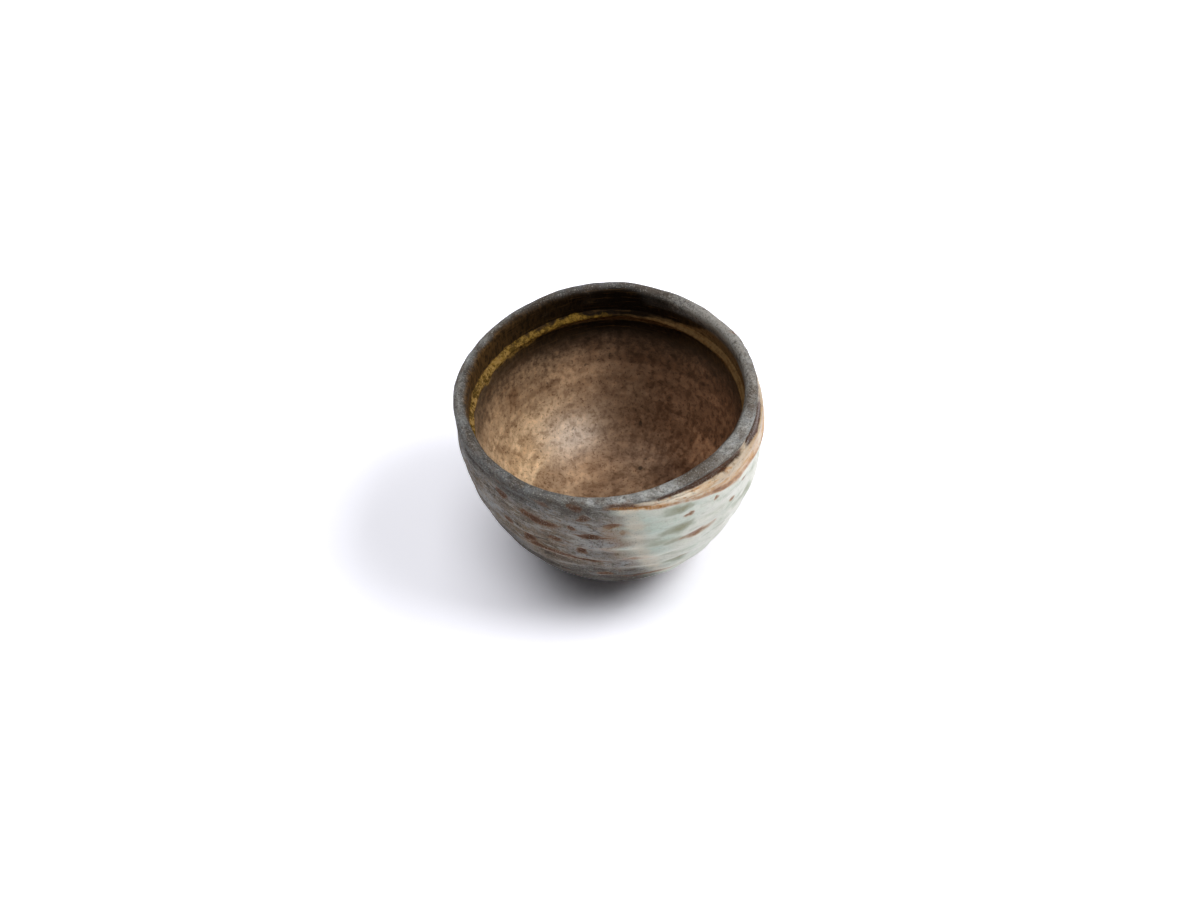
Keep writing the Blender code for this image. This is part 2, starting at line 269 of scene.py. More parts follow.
def cloud(points, cell, seed):
    """Smooth noise from -1 to 1: random values on a lattice of cells, blended by smooth steps."""
    lattice = np.random.default_rng(seed).uniform(-1.0, 1.0, (CLOUD_CELLS,) * 3)
    place = points / np.asarray(cell, float)
    corner = np.floor(place).astype(int)
    t = place - corner
    t = t * t * (3 - 2 * t)
    total = np.zeros(points.shape[:-1])
    for step in np.ndindex(2, 2, 2):
        i, j, k = np.moveaxis((corner + step) % CLOUD_CELLS, -1, 0)
        weight = np.prod(np.where(step, t, 1 - t), axis=-1)
        total += weight * lattice[i, j, k]
    return total


def bezier(start, start_handle, end_handle, end, count):
    """Points along a cubic Bezier curve, both ends included."""
    t = np.linspace(0.0, 1.0, count)[:, None]
    corners = [np.array(point, float) for point in (start, start_handle, end_handle, end)]
    weights = ((1 - t) ** 3, 3 * (1 - t) ** 2 * t, 3 * (1 - t) * t**2, t**3)
    return sum(weight * corner for weight, corner in zip(weights, corners))


def arc(centre, radius, start_deg, end_deg, steps):
    """Points along a circular arc in the section, both ends included."""
    angles = np.radians(np.linspace(start_deg, end_deg, steps))
    return np.array(centre) + radius * np.stack([np.cos(angles), np.sin(angles)], axis=1)


def spaced(line, count):
    """The line with its points set evenly along its length."""
    length = np.concatenate([[0.0], np.cumsum(np.linalg.norm(np.diff(line, axis=0), axis=1))])
    even = np.linspace(0.0, length[-1], count)
    return np.stack([np.interp(even, length, line[:, k]) for k in (0, 1)], axis=1)


def level(radius, height):
    """Points of a section line at one height."""
    return np.stack([radius, np.full(len(radius), height)], axis=1)


def line_normals(line):
    """Unit normals of a section line, to its right as it runs, which is out of the cup's skin."""
    along = np.gradient(line, axis=0)
    along /= np.linalg.norm(along, axis=1)[:, None]
    return np.stack([along[:, 1], -along[:, 0]], axis=1)


def skin_lines():
    """The cup's visible skin as section lines that meet: up the wall, over the lip, down into the basin.

    The wall is an arc round the base edge and a Bezier curve up to the belly. The lip is a half round. The
    bead is a half sine on the ledge. The basin is a Bezier curve that ends in a shallow pool.
    """
    base = (BASE_RADIUS, FOOT_HEIGHT + BASE_EDGE_ROUND)
    base_edge = arc((BASE_RADIUS - BASE_EDGE_ROUND, base[1]), BASE_EDGE_ROUND, -90, 0, 8)
    handle = (base[0] + BASE_HANDLE * math.cos(BASE_SLOPE), base[1] + BASE_HANDLE * math.sin(BASE_SLOPE))
    belly = (BELLY_RADIUS, BELLY_HEIGHT)
    flank = bezier(base, handle, (BELLY_RADIUS, BELLY_HEIGHT - BELLY_HANDLE), belly, CURVE_POINTS)
    wall = spaced(np.concatenate([base_edge, flank[1:], [(MOUTH_RADIUS + 0.15, LIP_SEAT)]]), WALL_ROWS)
    crown = arc((LIP_CROWN, CUP_HEIGHT - LIP_ROUND), LIP_ROUND, 0, 180, 60)
    lip = spaced(np.concatenate([wall[-1:], crown, [(MOUTH_INNER_RADIUS, LIP_SEAT)]]), LIP_ROWS)
    mouth = spaced(np.array([lip[-1], (MOUTH_INNER_RADIUS, BEAD_TOP)]), MOUTH_ROWS)
    share = np.linspace(0.0, 1.0, BEAD_ROWS)
    bead_radius = MOUTH_INNER_RADIUS + share * (BASIN_RADIUS - MOUTH_INNER_RADIUS)
    bead = np.stack([bead_radius, BEAD_TOP + share * (BASIN_TOP - BEAD_TOP)], axis=1)
    bead[:, 0] -= BEAD_DEPTH * np.sin(np.pi * share) ** 0.8
    floor_edge = (FLOOR_RADIUS, FLOOR_HEIGHT)
    bowl = bezier((BASIN_RADIUS, BASIN_TOP), *BASIN_HANDLES, floor_edge, CURVE_POINTS)
    pool = bezier(floor_edge, *POOL_HANDLES, (POOL_RADIUS, POOL_HEIGHT), 20)
    basin = spaced(np.concatenate([bowl, pool[1:], [(0.0, POOL_HEIGHT)]]), BASIN_ROWS)
    return {"wall": wall, "lip": lip, "mouth": mouth, "bead": bead, "basin": basin}


def joined_normals(lines):
    """Normals of the skin's lines, taken along the whole skin, so neighbours share them where they meet."""
    names = list(lines)
    whole = np.concatenate([lines[names[0]]] + [lines[name][1:] for name in names[1:]])
    normals = line_normals(whole)
    found, start = {}, 0
    for name in names:
        found[name] = normals[start:start + len(lines[name])]
        start += len(lines[name]) - 1
    return found


SKIN = skin_lines()
NORMALS = joined_normals(SKIN)


def shaped_by_hand(radius, angle, height):
    """Points in millimetres with the cup's unevenness, which grows from nothing at the table to the lip.

    The radius gains a lobed swell, the height gains the lip's waves and the lean's tilt, and the whole leans.
    """
    share = height / CUP_HEIGHT
    swell = PLAN_SWELL * share * np.cos(PLAN_LOBES * (angle - PLAN_SWELL_AT))
    full = radius + swell * np.clip(radius / BASE_RADIUS, 0.0, 1.0)
    wave = sum(rise * np.cos(count * (angle - at)) for count, rise, at in LIP_WAVES)
    x = full * np.cos(angle)
    y = full * np.sin(angle)
    z = height + share**2 * wave * radius / MOUTH_RADIUS + share * x * math.tan(LEAN_ANGLE)
    x = x + (1.0 - share) * CUP_HEIGHT * math.sin(LEAN_ANGLE)
    return np.stack(np.broadcast_arrays(x, y, z), axis=-1)


def plain_points(radius, angle, height):
    """Points of the plain turned form, which the noises are read at."""
    parts = np.broadcast_arrays(radius * np.cos(angle), radius * np.sin(angle), height)
    return np.stack(parts, axis=-1)


def flecks(table, degrees, radius, height, skew=0.0):
    """The strongest of a table of soft flecks at each point: exp(-u^2 - v^2) along and across each fleck.

    Noise pulls at the flecks' outlines. A skewed fleck is longer towards the left, and shorter towards the
    right, by that share.
    """
    points = plain_points(radius, np.radians(degrees), height)
    pull = 1.6 * cloud(points, 3.2, 14) + 0.9 * cloud(points, 1.4, 16)
    lift = 0.7 * cloud(points, (3.6, 3.6, 1.7), 15) + 0.4 * cloud(points, (1.6, 1.6, 1.0), 17)
    best = np.zeros(points.shape[:-1])
    for at, middle, half_length, half_height, fall, strength in table:
        along = np.radians(turn_from(degrees, at)) * radius + pull
        across = height - middle + fall * along + lift
        reach = half_length * (1.0 - skew * np.sign(along))
        fleck = strength * np.exp(-((along / reach) ** 2) - (across / half_height) ** 2)
        best = np.maximum(best, fleck)
    return best


def outside_share(radius, height):
    """1 on the wall, 0 inside the cup, and a smooth step over the crown of the lip."""
    over = smooth_step(LIP_CROWN - 1.5, LIP_CROWN + 1.5, radius)
    inner = np.concatenate([SKIN[name] for name in ("basin", "bead", "mouth")])
    order = np.argsort(inner[:, 1])
    outer = SKIN["wall"]
    inner_radius = np.interp(height, inner[order, 1], inner[order, 0], left=0.0)
    outer_radius = np.interp(height, outer[:, 1], outer[:, 0], left=0.0)
    underside = height < FLOOR_HEIGHT - 2.0
    through = np.where(underside | (radius >= (inner_radius + outer_radius) / 2), 1.0, 0.0)
    return np.where(height > LIP_SEAT - 0.5, over, through)


def coat_cover(degrees, height, softness):
    """How far the celadon covers the wall, from 0 to 1: smooth steps, so many degrees soft, at its edges."""
    near_edge = np.interp(height, COAT_EDGE_HEIGHTS, COAT_EDGE_DEGREES)
    far_edge = np.interp(height, COAT_FAR_HEIGHTS, COAT_FAR_DEGREES)
    angle = turn_from(degrees, 0.0)
    near = smooth_step(near_edge - softness, near_edge + softness, angle)
    far = smooth_step(far_edge + 1.5 * softness, far_edge - 1.5 * softness, angle)
    return near * far


def rounded(angle, at, values):
    """A table read by angle in degrees, with its corners rounded by a mean over 20 degrees."""
    return np.mean([np.interp(angle + shift, at, values) for shift in np.linspace(-10.0, 10.0, 9)], axis=0)


def strata(points):
    """Torn, nearly level layers in the clay: noise stretched along the wall and tilted, from -1 to 1."""
    bent = points.copy()
    bent[..., 2] += 1.6 * cloud(points, 16.0, 11) + LAYER_TILT * points[..., 0]
    return cloud(bent, (17.0, 17.0, 2.3), 12), cloud(bent, (9.0, 9.0, 1.3), 13)


def wall_relief(angle, radius, height):
    """How far the wall's skin stands out from its plain line, in millimetres.

    Slow unevenness, plus the throwing ridges, less the torn layers, the pits at the rust
    flecks, the seam under the lip on the right and the soft hollow under it on the left.
    """
    degrees = np.degrees(angle)
    points = plain_points(radius, angle, height)
    body = smooth_step(FOOT_HEIGHT, FOOT_HEIGHT + 6.0, height)
    slow = 0.30 * cloud(points, 24.0, 1) + 0.16 * cloud(points, 9.0, 2)
    base = FOOT_HEIGHT + BASE_EDGE_ROUND
    up = np.clip((height - base) / (LIP_SEAT - base), 0.0, 1.0)
    turns = (height - RIDGE_GROOVE) / RIDGE_PITCH
    ridges = RIDGE_HEIGHT * np.sin(np.pi * up) * np.cos(2 * np.pi * turns + 0.8 * cloud(points, 26.0, 3))
    bare = 1.0 - 0.5 * coat_cover(degrees, height, 8.0)
    coarse, fine = strata(points)
    torn = TORN_DEPTH * smooth_step(0.05, 0.55, coarse) + FINE_TORN_DEPTH * smooth_step(0.15, 0.65, fine)
    torn = torn * bare * smooth_step(60.0, 50.0, height)
    pits = PIT_DEPTH * flecks(RUST_FLECKS, degrees, radius, height)
    folds = 0.45 * bell(height, 60.9, 0.9) + 0.40 * bell(height, 57.6, 1.3)
    hollow = folds * facing(degrees, HOLLOW_AT, 30.0)
    right = facing(degrees, -8.0, 26.0)
    swell = right * (0.7 * bell(height, 55.0, 4.5) + 0.5 * bell(height, 40.0, 7.0))
    return body * (slow - ridges - torn - pits - hollow + swell) - SEAM_DEPTH * seam_share(degrees, height)


def seam_share(degrees, height):
    """How open the dark seam under the lip is at each point, from 0 to 1."""
    angle = turn_from(degrees, 0.0)
    low = rounded(angle, SEAM_DEGREES, SEAM_LOW) + 0.35 * np.sin(angle / 3.1) * np.cos(angle / 7.3)
    high = rounded(angle, SEAM_DEGREES, SEAM_HIGH)
    strength = np.interp(angle, SEAM_DEGREES, SEAM_STRENGTH, left=0.0, right=0.0)
    below_lip = smooth_step(high + 0.5, high - 0.4, height)
    return strength * smooth_step(low - 0.5, low + 0.4, height) * below_lip


def lip_relief(angle, radius, height):
    """Small lumps of the fingered lip, in millimetres. Its inner side is folded thicker, front right."""
    points = plain_points(radius, angle, height)
    inner = smooth_step(LIP_CROWN + 1.0, LIP_CROWN - 1.2, radius)
    inner = inner * smooth_step(LIP_SEAT, LIP_SEAT + 1.6, height)
    fold = LIP_FOLD * facing(np.degrees(angle), LIP_FOLD_AT, 26.0) * inner
    return fold + 0.16 * cloud(points, 7.0, 21) + 0.07 * cloud(points, 2.2, 22)


def mouth_relief(angle, radius, height):
    """Finger rings and melted ash inside the mouth, in millimetres."""
    points = plain_points(radius, angle, height)
    rings = 0.10 * cloud(points, (24.0, 24.0, 1.3), 31)
    return rings + 0.10 * cloud(points, 3.0, 32)


def bead_relief(angle, radius, height):
    """Lumps and grains of the ash bead, which is fullest on the left, in millimetres."""
    points = plain_points(radius, angle, height)
    full = facing(np.degrees(angle), 145.0, 55.0)
    grains = 0.40 * cloud(points, 6.0, 43) + 0.16 * cloud(points, 2.6, 41) + 0.06 * cloud(points, 1.1, 42)
    return grains * (0.35 + 0.65 * full) + 0.20 * full - 0.35


def basin_relief(angle, radius, height):
    """Throwing rings in the basin and slow unevenness, in millimetres."""
    points = plain_points(radius, angle, height)
    wander = 0.8 * cloud(points, 22.0, 51)
    rings = 0.02 * np.sin(2 * np.pi * (radius / 3.4 + height / 5.0) + angle + wander)
    slow = 0.16 * cloud(points, 18.0, 52) + 0.05 * cloud(points, 4.0, 53)
    return rings * smooth_step(0.0, 6.0, radius) + slow


def skin_relief(name, angle, radius, height):
    """The relief of one of the skin's lines. Neighbours fade into each other, so the skin has no steps."""
    place = (angle, radius, height)
    if name == "basin":
        return basin_relief(*place)
    if name == "bead":
        share = smooth_step(BASIN_TOP, BASIN_TOP + 0.6, height)
        upper = smooth_step(BEAD_TOP - 0.7, BEAD_TOP, height)
        inner = upper * mouth_relief(*place) + (1.0 - upper) * bead_relief(*place)
        return share * inner + (1.0 - share) * basin_relief(*place)
    if name == "mouth":
        return smooth_step(LIP_SEAT - 3.0, LIP_SEAT, height) * lip_relief(*place) + mouth_relief(*place)
    outside = outside_share(radius, height)
    over_lip = smooth_step(LIP_SEAT - 4.0, LIP_SEAT + 1.5, height)
    inner = (1.0 - outside) * smooth_step(LIP_SEAT + 2.5, LIP_SEAT, height)
    return wall_relief(*place) * outside + over_lip * lip_relief(*place) + inner * mouth_relief(*place)


def raised_grid(line, normals, angle, relief):
    """The shaped points of a section line turned round the cup, moved along its normals by the relief."""
    return shaped_by_hand(line[:, :1] + relief * normals[:, :1], angle, line[:, 1:] + relief * normals[:, 1:])


def skin_grid(name, angle):
    """The shaped points of one of the skin's lines with its relief."""
    line = SKIN[name]
    return raised_grid(line, NORMALS[name], angle, skin_relief(name, angle, line[:, :1], line[:, 1:]))


def turned_grid(line, angle):
    """The shaped points of a plain section line turned round the cup."""
    return shaped_by_hand(line[:, :1], angle, line[:, 1:])


def wall_paint(angle, radius, height):
    """Masks from 0 to 1 that the wall's and the lip's colours are laid out by.

    They are smooth steps and bells of the angle in degrees and of the height in millimetres, pulled by noise.
    """
    degrees = np.degrees(angle)
    side = turn_from(degrees, 0.0)
    points = plain_points(radius, angle, height)
    outside = outside_share(radius, height)
    wander = cloud(points, (6.0, 6.0, 4.0), 61)
    streak = cloud(points, (9.0, 9.0, 1.6), 62)
    line = rounded(side, RUST_LINE_DEGREES, RUST_LINE_HEIGHTS) + 0.6 * wander
    line_strength = np.interp(side, RUST_LINE_DEGREES, RUST_LINE_STRENGTH, left=0.0, right=0.0)
    above = smooth_step(line - 0.9, line + 1.1, height)
    banded = smooth_step(-98.0, -84.0, side) * smooth_step(100.0, 70.0, side)
    edge = np.interp(height, COAT_EDGE_HEIGHTS, COAT_EDGE_DEGREES)
    cream = (0.80 + 0.30 * streak) * bell(side, edge + 3.0, 4.5) * smooth_step(4.0, 30.0, height)
    far_edge = np.interp(height, COAT_FAR_HEIGHTS, COAT_FAR_DEGREES)
    far_cream = (0.60 + 0.40 * streak) * bell(side, far_edge, 9.0)
    cover = coat_cover(degrees + 2.0 * wander + 5.0 * streak, height, 15.0)
    above_foot = smooth_step(FOOT_RADIUS, FOOT_RADIUS + 1.0, radius)
    cover = cover * smooth_step(6.0, 12.0, height + 2.0 * wander) * above_foot
    left_lip = smooth_step(54.0, 64.0, height + 1.5 * wander)
    right_lip = smooth_step(62.8, 64.0, height)
    lip_share = np.maximum((1.0 - banded) * left_lip + banded * right_lip, 1.0 - outside)
    ash = bell(side, 40.0, 30.0) + 0.55 * bell(side, -40.0, 28.0) + 0.4 * bell(side, 0.0, 20.0)
    coarse, fine = strata(points)
    recess = np.maximum(smooth_step(0.10, 0.60, coarse), 0.6 * smooth_step(0.2, 0.7, fine))
    pale_lip = bell(side, -84.0, 27.0) + 0.55 * bell(side, -22.0, 44.0)
    pale_lip = pale_lip + 0.5 * facing(degrees, 165.0, 42.0)
    # Darker on the lip's inner edge, most on the left and back, and painted shade in the soft groove under
    # the lip on the left
    inner_edge_dark = 0.28 + 0.56 * facing(degrees, 156.0, 70.0)
    groove_shade = 1.4 * bell(height, 58.6, 2.8) * facing(degrees, -150.0, 26.0)
    groove_shade = groove_shade * smooth_step(-0.3, 0.7, cloud(points, (6.0, 6.0, 2.0), 63))
    lip_edge_dark_and_groove_shade = inner_edge_dark * smooth_step(0.85, 0.30, outside) + groove_shade
    # Painted shade: the wall darkens towards the base, higher on the left under the hollow, and not under the
    # celadon
    rise = 7.0 * facing(degrees, HOLLOW_AT, 28.0)
    lower_wall_shade = smooth_step(37.0 + rise, 21.0 + rise, height + 3.0 * wander)
    lower_wall_shade = lower_wall_shade * (1.0 - coat_cover(degrees, height, 12.0) * above_foot)
    return {
        "celadon": cover * outside,
        # Whiter on the right: partly thicker glaze, partly painted light from the right
        "thick_glaze_and_lit_side": smooth_step(-78.0, -40.0, side) * smooth_step(100.0, 60.0, side) * outside,
        "cream": np.clip(np.maximum(cream, far_cream), 0.0, 1.0) * above_foot * outside,
        "peach": above * banded * outside,
        "rust": flecks(RUST_FLECKS, degrees, radius, height) * outside,
        "pool": flecks(GREEN_POOLS, degrees, radius, height, 0.35) * outside,
        "iron": line_strength * bell(height, line, 0.75 + 0.40 * bell(side, -46.0, 12.0)) * outside,
        "band_up": np.clip((height - line) / 6.0, 0.0, 1.0) * outside,
        "seam": seam_share(degrees, height) * outside,
        "lip": lip_share,
        "pale_lip": np.clip(pale_lip, 0.0, 1.0),
        "ash": np.clip(ash, 0.0, 1.0) * smooth_step(59.5, 63.0, height),
        "lip_edge_dark_and_groove_shade": np.clip(lip_edge_dark_and_groove_shade, 0.0, 1.0),
        "recess": recess * outside * smooth_step(60.5, 52.0, height),
        "lower_wall_shade": lower_wall_shade * outside,
        "toasted": bell(side, -120.0, 16.0) * bell(height, 40.0, 12.0) * outside,
        "bluish": bell(side, -94.0, 12.0) * bell(height, 48.0, 12.0) * outside,
        "stain": bell(side + 5.0 * streak, edge - 4.5, 6.0) * bell(height, 46.0, 15.0) * outside,
        "pale_band": bell(side, -76.0, 18.0),
    }


def mouth_paint(angle, radius, height):
    """Masks from 0 to 1 for the inside of the mouth: how far inside, the ochre ash and the tan glaze."""
    degrees = np.degrees(angle)
    points = plain_points(radius, angle, height)
    wander = cloud(points, (4.5, 4.5, 3.0), 71)
    back = degrees % 360.0
    low = np.interp(back, OCHRE_DEGREES, OCHRE_LOW)
    high = np.interp(back, OCHRE_DEGREES, OCHRE_HIGH)
    reach = smooth_step(74.0, 102.0, back) * (1.0 - 0.55 * smooth_step(200.0, 235.0, back))
    reach = reach * smooth_step(330.0, 290.0, back)
    ragged = wander + 0.6 * cloud(points, (2.0, 2.0, 1.4), 72)
    ochre = smooth_step(low - 0.9, low + 0.9, height + ragged)
    ochre = ochre * smooth_step(high + 0.6, high - 0.6, height + ragged) * reach
    side = turn_from(degrees, 0.0)
    tan_low = np.interp(side, TAN_DEGREES, TAN_LOW)
    tan_high = np.interp(side, TAN_DEGREES, TAN_HIGH)
    tan_reach = smooth_step(-70.0, -40.0, side) * smooth_step(130.0, 105.0, side)
    tan = smooth_step(tan_low - 0.5, tan_low + 0.3, height) * tan_reach
    tan = tan * smooth_step(tan_high + 0.8, tan_high - 0.8, height + 0.6 * wander)
    warm = np.maximum(bell(side, 12.0, 34.0), facing(degrees, 178.0, 50.0))
    ashed = np.maximum(2.0 * bell(side, 14.0, 44.0), 2.4 * facing(degrees, -100.0, 66.0))
    ashed = np.maximum(ashed, 2.9 * bell(side, 44.0, 22.0)) + 0.5 * wander
    over = smooth_step(LIP_CROWN - 2.4, LIP_CROWN + 0.6, radius + ashed)
    deep = smooth_step(LIP_SEAT + 0.8, LIP_SEAT - 3.0, height)
    within = np.where(height > LIP_SEAT - 0.5, radius < LIP_CROWN, outside_share(radius, height) < 0.5)
    inside = within * np.maximum(1.0 - over, deep)
    return {"ochre": ochre, "tan": tan, "warm": warm, "inside": inside}


def basin_paint(angle, radius, height):
    """Masks from 0 to 1 for the basin: its sandy, deep brown, dim and lit sides, its dark rim and its swirl.

    The sandy and deep brown sides are partly painted light and shade; the dark rim is partly painted shade.
    The painted highlight and the iron spots are bells of the distance from their middles.
    """
    degrees = np.degrees(angle)
    points = plain_points(radius, angle, height)
    wander = cloud(points, 9.0, 75)
    x, y = points[..., 0], points[..., 1]
    # Sandy on the left and deep brown on the right: partly the glaze's own colour, partly painted light on
    # the lit side and painted shade on the side in the rim's shadow
    to_light = -(x * SAND_AND_LIGHT_WAY[0] + y * SAND_AND_LIGHT_WAY[1])
    band = bell(radius + 1.2 * wander, 31.5, 5.5) * facing(degrees, 163.0, 48.0)
    sand_and_lit_side = np.clip(0.32 * smooth_step(0.0, 34.0, -to_light + 4.0 * wander) + 0.64 * band, 0.0, 1.0)
    umber_and_shaded_side = smooth_step(-8.0, 26.0, to_light + 4.0 * wander)
    # Darker glaze near the bead, with painted shade below it, most at the back
    reach = 0.68 + 0.24 * facing(degrees, 70.0, 75.0)
    dark = smooth_step(32.0, 52.0, height + 3.0 * wander) * reach
    shade = smooth_step(41.0, 53.5, height + 1.5 * wander) * facing(degrees, 92.0, 85.0)
    dim = smooth_step(23.0, 38.0, height + 4.0 * wander) * facing(degrees, 147.0, 30.0)
    dim = dim * smooth_step(53.0, 47.0, height)
    near_floor = facing(degrees, 117.0, 26.0) * bell(radius, 18.5, 6.0)
    left = facing(degrees, 105.0, 15.0) * bell(height, 34.0, 10.0)
    right = smooth_step(13.0, 24.0, height) * smooth_step(48.0, 40.0, height)
    right = right * facing(degrees, 24.0, 24.0)
    lit = np.maximum.reduce([right, 0.55 * left, 0.45 * near_floor * (height < 24.0)])
    spots = [bell(np.hypot(x - at_x, y - at_y), 0.0, size) for at_x, at_y, size in IRON_SPOTS]
    along_wall = radius + height
    wide = plain_points(2.4, angle, along_wall / 3.2)
    fine = plain_points(3.6, angle, along_wall / 1.1)
    swirl = 0.5 + 0.30 * cloud(wide, 1.0, 76) + 0.14 * cloud(fine, 1.0, 77)
    ring = bell(radius, 13.0 + 0.6 * wander, 0.9) * np.where(height < 20.0, 1.0, 0.0)
    # A painted highlight: a pale, warm patch in the glaze's colour, long along the throwing rings
    way_x, way_y = np.array(PAINTED_HIGHLIGHT_AT) / math.hypot(*PAINTED_HIGHLIGHT_AT)
    along = (x - PAINTED_HIGHLIGHT_AT[0]) * way_y - (y - PAINTED_HIGHLIGHT_AT[1]) * way_x
    across = (x - PAINTED_HIGHLIGHT_AT[0]) * way_x + (y - PAINTED_HIGHLIGHT_AT[1]) * way_y
    painted_highlight = bell(along, 0.0, PAINTED_HIGHLIGHT_REACH) * bell(across, 0.0, PAINTED_HIGHLIGHT_REACH / 2)
    return {
        "sand_and_lit_side": sand_and_lit_side, "umber_and_shaded_side": umber_and_shaded_side, "rim_dark_and_shade": dark, "shade": shade, "lit": lit, "swirl": swirl,
        "dim": dim, "ring": ring, "painted_highlight": painted_highlight, "iron_spot": np.maximum.reduce(spots),
    }


def triangles(a, b, c, d):
    """Outward triangles of a grid's cells, from the points at the cells' corners. Flat ones are dropped."""
    both = np.concatenate([np.stack(three, -1).reshape(-1, 3) for three in ((a, b, c), (a, c, d))])
    flat = (both == np.roll(both, 1, axis=1)).any(axis=1)
    return both[~flat]


def ring_triangles(index, wrap_rows):
    """Outward triangles between the rows of an index grid that is closed round the cup."""
    lower = index if wrap_rows else index[:-1]
    upper = np.roll(index, -1, axis=0) if wrap_rows else index[1:]
    return triangles(lower, np.roll(lower, -1, axis=1), np.roll(upper, -1, axis=1), upper)


def patch_triangles(index):
    """Outward triangles of an open patch of an index grid."""
    return triangles(index[:-1, :-1], index[:-1, 1:], index[1:, 1:], index[1:, :-1])


def mesh_piece(name, points, faces, paint, sharp_rows=None, row_length=1):
    """A mesh object from points in millimetres and triangles, with a float attribute for each mask."""
    used, faces = np.unique(faces, return_inverse=True)
    faces = faces.reshape(-1, 3)
    mesh = bpy.data.meshes.new(name)
    mesh.from_pydata(points[used] * MM, [], faces)
    for mask, values in paint.items():
        layer = mesh.attributes.new(mask, "FLOAT", "POINT")
        layer.data.foreach_set("value", values.ravel()[used].astype(np.float32))
    mesh.shade_smooth()
    if sharp_rows is not None:
        ends = np.empty(len(mesh.edges) * 2, np.int32)
        mesh.edges.foreach_get("vertices", ends)
        rows = (used // row_length)[ends.reshape(-1, 2)]
        level = rows[:, 0] == rows[:, 1]
        layer = mesh.attributes.new("sharp_edge", "BOOLEAN", "EDGE")
        layer.data.foreach_set("value", level & np.isin(rows[:, 0], sharp_rows))
    mesh.update()
    piece = bpy.data.objects.new(name, mesh)
    bpy.context.scene.collection.objects.link(piece)
    return piece


def ring_piece(name, grid, paint, wrap_rows=False, poles=False, sharp_rows=()):
    """A closed piece from rows of points round the cup, joined into a ring or closed by poles."""
    rows, columns = grid.shape[:2]
    index = np.arange(rows * columns).reshape(rows, columns)
    if poles:
        index[0] = index[0, 0]
        index[-1] = index[-1, 0]
    faces = ring_triangles(index, wrap_rows)
    return mesh_piece(name, grid.reshape(-1, 3), faces, paint, sharp_rows, columns)


def stands_for(piece, node, material):
    """Puts a piece in the frame: it replaces its solid, moves with the cup and takes the material it is
    given.
    """
    piece.data.materials.append(material)
    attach(piece, "root")
    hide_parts(node)


def painted(rows_line, angle, painters):
    """The masks of several painters, each worked out over all the points of a section line."""
    masks = {}
    for painter in painters:
        masks.update(painter(angle, rows_line[:, :1], rows_line[:, 1:]))
    shape = (len(rows_line), angle.shape[1])
    return {name: np.broadcast_to(values, shape) for name, values in masks.items()}


def make_bowl(angle):
    """The clay bowl: underside, wall, lip seat, mouth, and a hidden back below the bead and the glaze.

    The underside has faint turning marks inside the foot: a sine of the radius of uneven pitch.
    """
    top = FOOT_HEIGHT + GROOVE_DEPTH
    groove_in, groove_out = FOOT_INNER_RADIUS - GROOVE_SLACK, FOOT_RADIUS + GROOVE_SLACK
    flat = np.linspace(0.0, groove_in, FLOOR_ROWS)
    groove = level([groove_in, groove_out], top)
    rim = np.linspace(groove_out, SKIN["wall"][0, 0], RIM_ROWS)[:-1]
    below = np.concatenate([level(flat, FOOT_HEIGHT), groove, level(rim, FOOT_HEIGHT)])
    seat = level([MOUTH_RADIUS - 1.0, MOUTH_INNER_RADIUS + 1.0], LIP_SEAT - HIDDEN_GAP)
    back = (SKIN["basin"] - (GLAZE_THICKNESS + HIDDEN_GAP) * NORMALS["basin"])[::BACK_STEP]
    back[-1] = (0.0, back[-1, 1])
    turns = flat * 2 * np.pi / TURNING_PITCH + 1.3 * np.sin(flat)
    fade = smooth_step(0.0, 2.0, flat) * smooth_step(FOOT_INNER_RADIUS, FOOT_INNER_RADIUS - 1.5, flat)
    turned = below.copy()
    turned[:FLOOR_ROWS, 1] += TURNING_DEPTH * np.sin(turns) * fade
    parts = [
        turned_grid(turned, angle),
        skin_grid("wall", angle),
        turned_grid(seat, angle),
        skin_grid("mouth", angle),
        turned_grid(back, angle),
    ]
    line = np.concatenate([below, SKIN["wall"], seat, SKIN["mouth"], back])
    ends = np.cumsum([len(part) for part in parts])
    sharp = [*range(FLOOR_ROWS - 1, FLOOR_ROWS + 3), ends[1] - 1, ends[2], ends[3] - 1]
    paint = painted(line, angle, (wall_paint, mouth_paint))
    return ring_piece("clay_bowl", np.concatenate(parts), paint, poles=True, sharp_rows=sharp)


def make_lip(angle):
    """The lip: a half-round roll whose flat foot closes it."""
    paint = painted(SKIN["lip"], angle, (wall_paint, mouth_paint))
    ends = [0, LIP_ROWS - 1]
    return ring_piece("rolled_lip", skin_grid("lip", angle), paint, wrap_rows=True, sharp_rows=ends)


def make_bead(angle):
    """The ash bead: a lumpy half round with a hidden back."""
    back_radius = MOUTH_INNER_RADIUS + 0.3
    back = np.array([(back_radius, BASIN_TOP + 0.4), (back_radius, BEAD_TOP - 0.2)])
    paint = painted(np.concatenate([SKIN["bead"], back]), angle, (mouth_paint,))
    grid = np.concatenate([skin_grid("bead", angle), turned_grid(back, angle)])
    return ring_piece("melted_ash_bead", grid, paint, wrap_rows=True, sharp_rows=[0, BEAD_ROWS - 1])


def make_basin(angle):
    """The basin's glaze: its face from the bead down to the pool, and a hidden back behind it."""
    back = (SKIN["basin"] - GLAZE_THICKNESS * NORMALS["basin"])[::-BACK_STEP]
    back[0, 0] = 0.0
    grid = np.concatenate([turned_grid(back, angle), skin_grid("basin", angle)])
    paint = painted(np.concatenate([back, SKIN["basin"]]), angle, (mouth_paint, basin_paint))
    paint["inside"] = np.maximum.reduce([paint["ochre"], paint["tan"], paint.pop("shade")])
    ends = [len(back) - 1, len(back)]
    return ring_piece("brown_basin_glaze", grid, paint, poles=True, sharp_rows=ends)


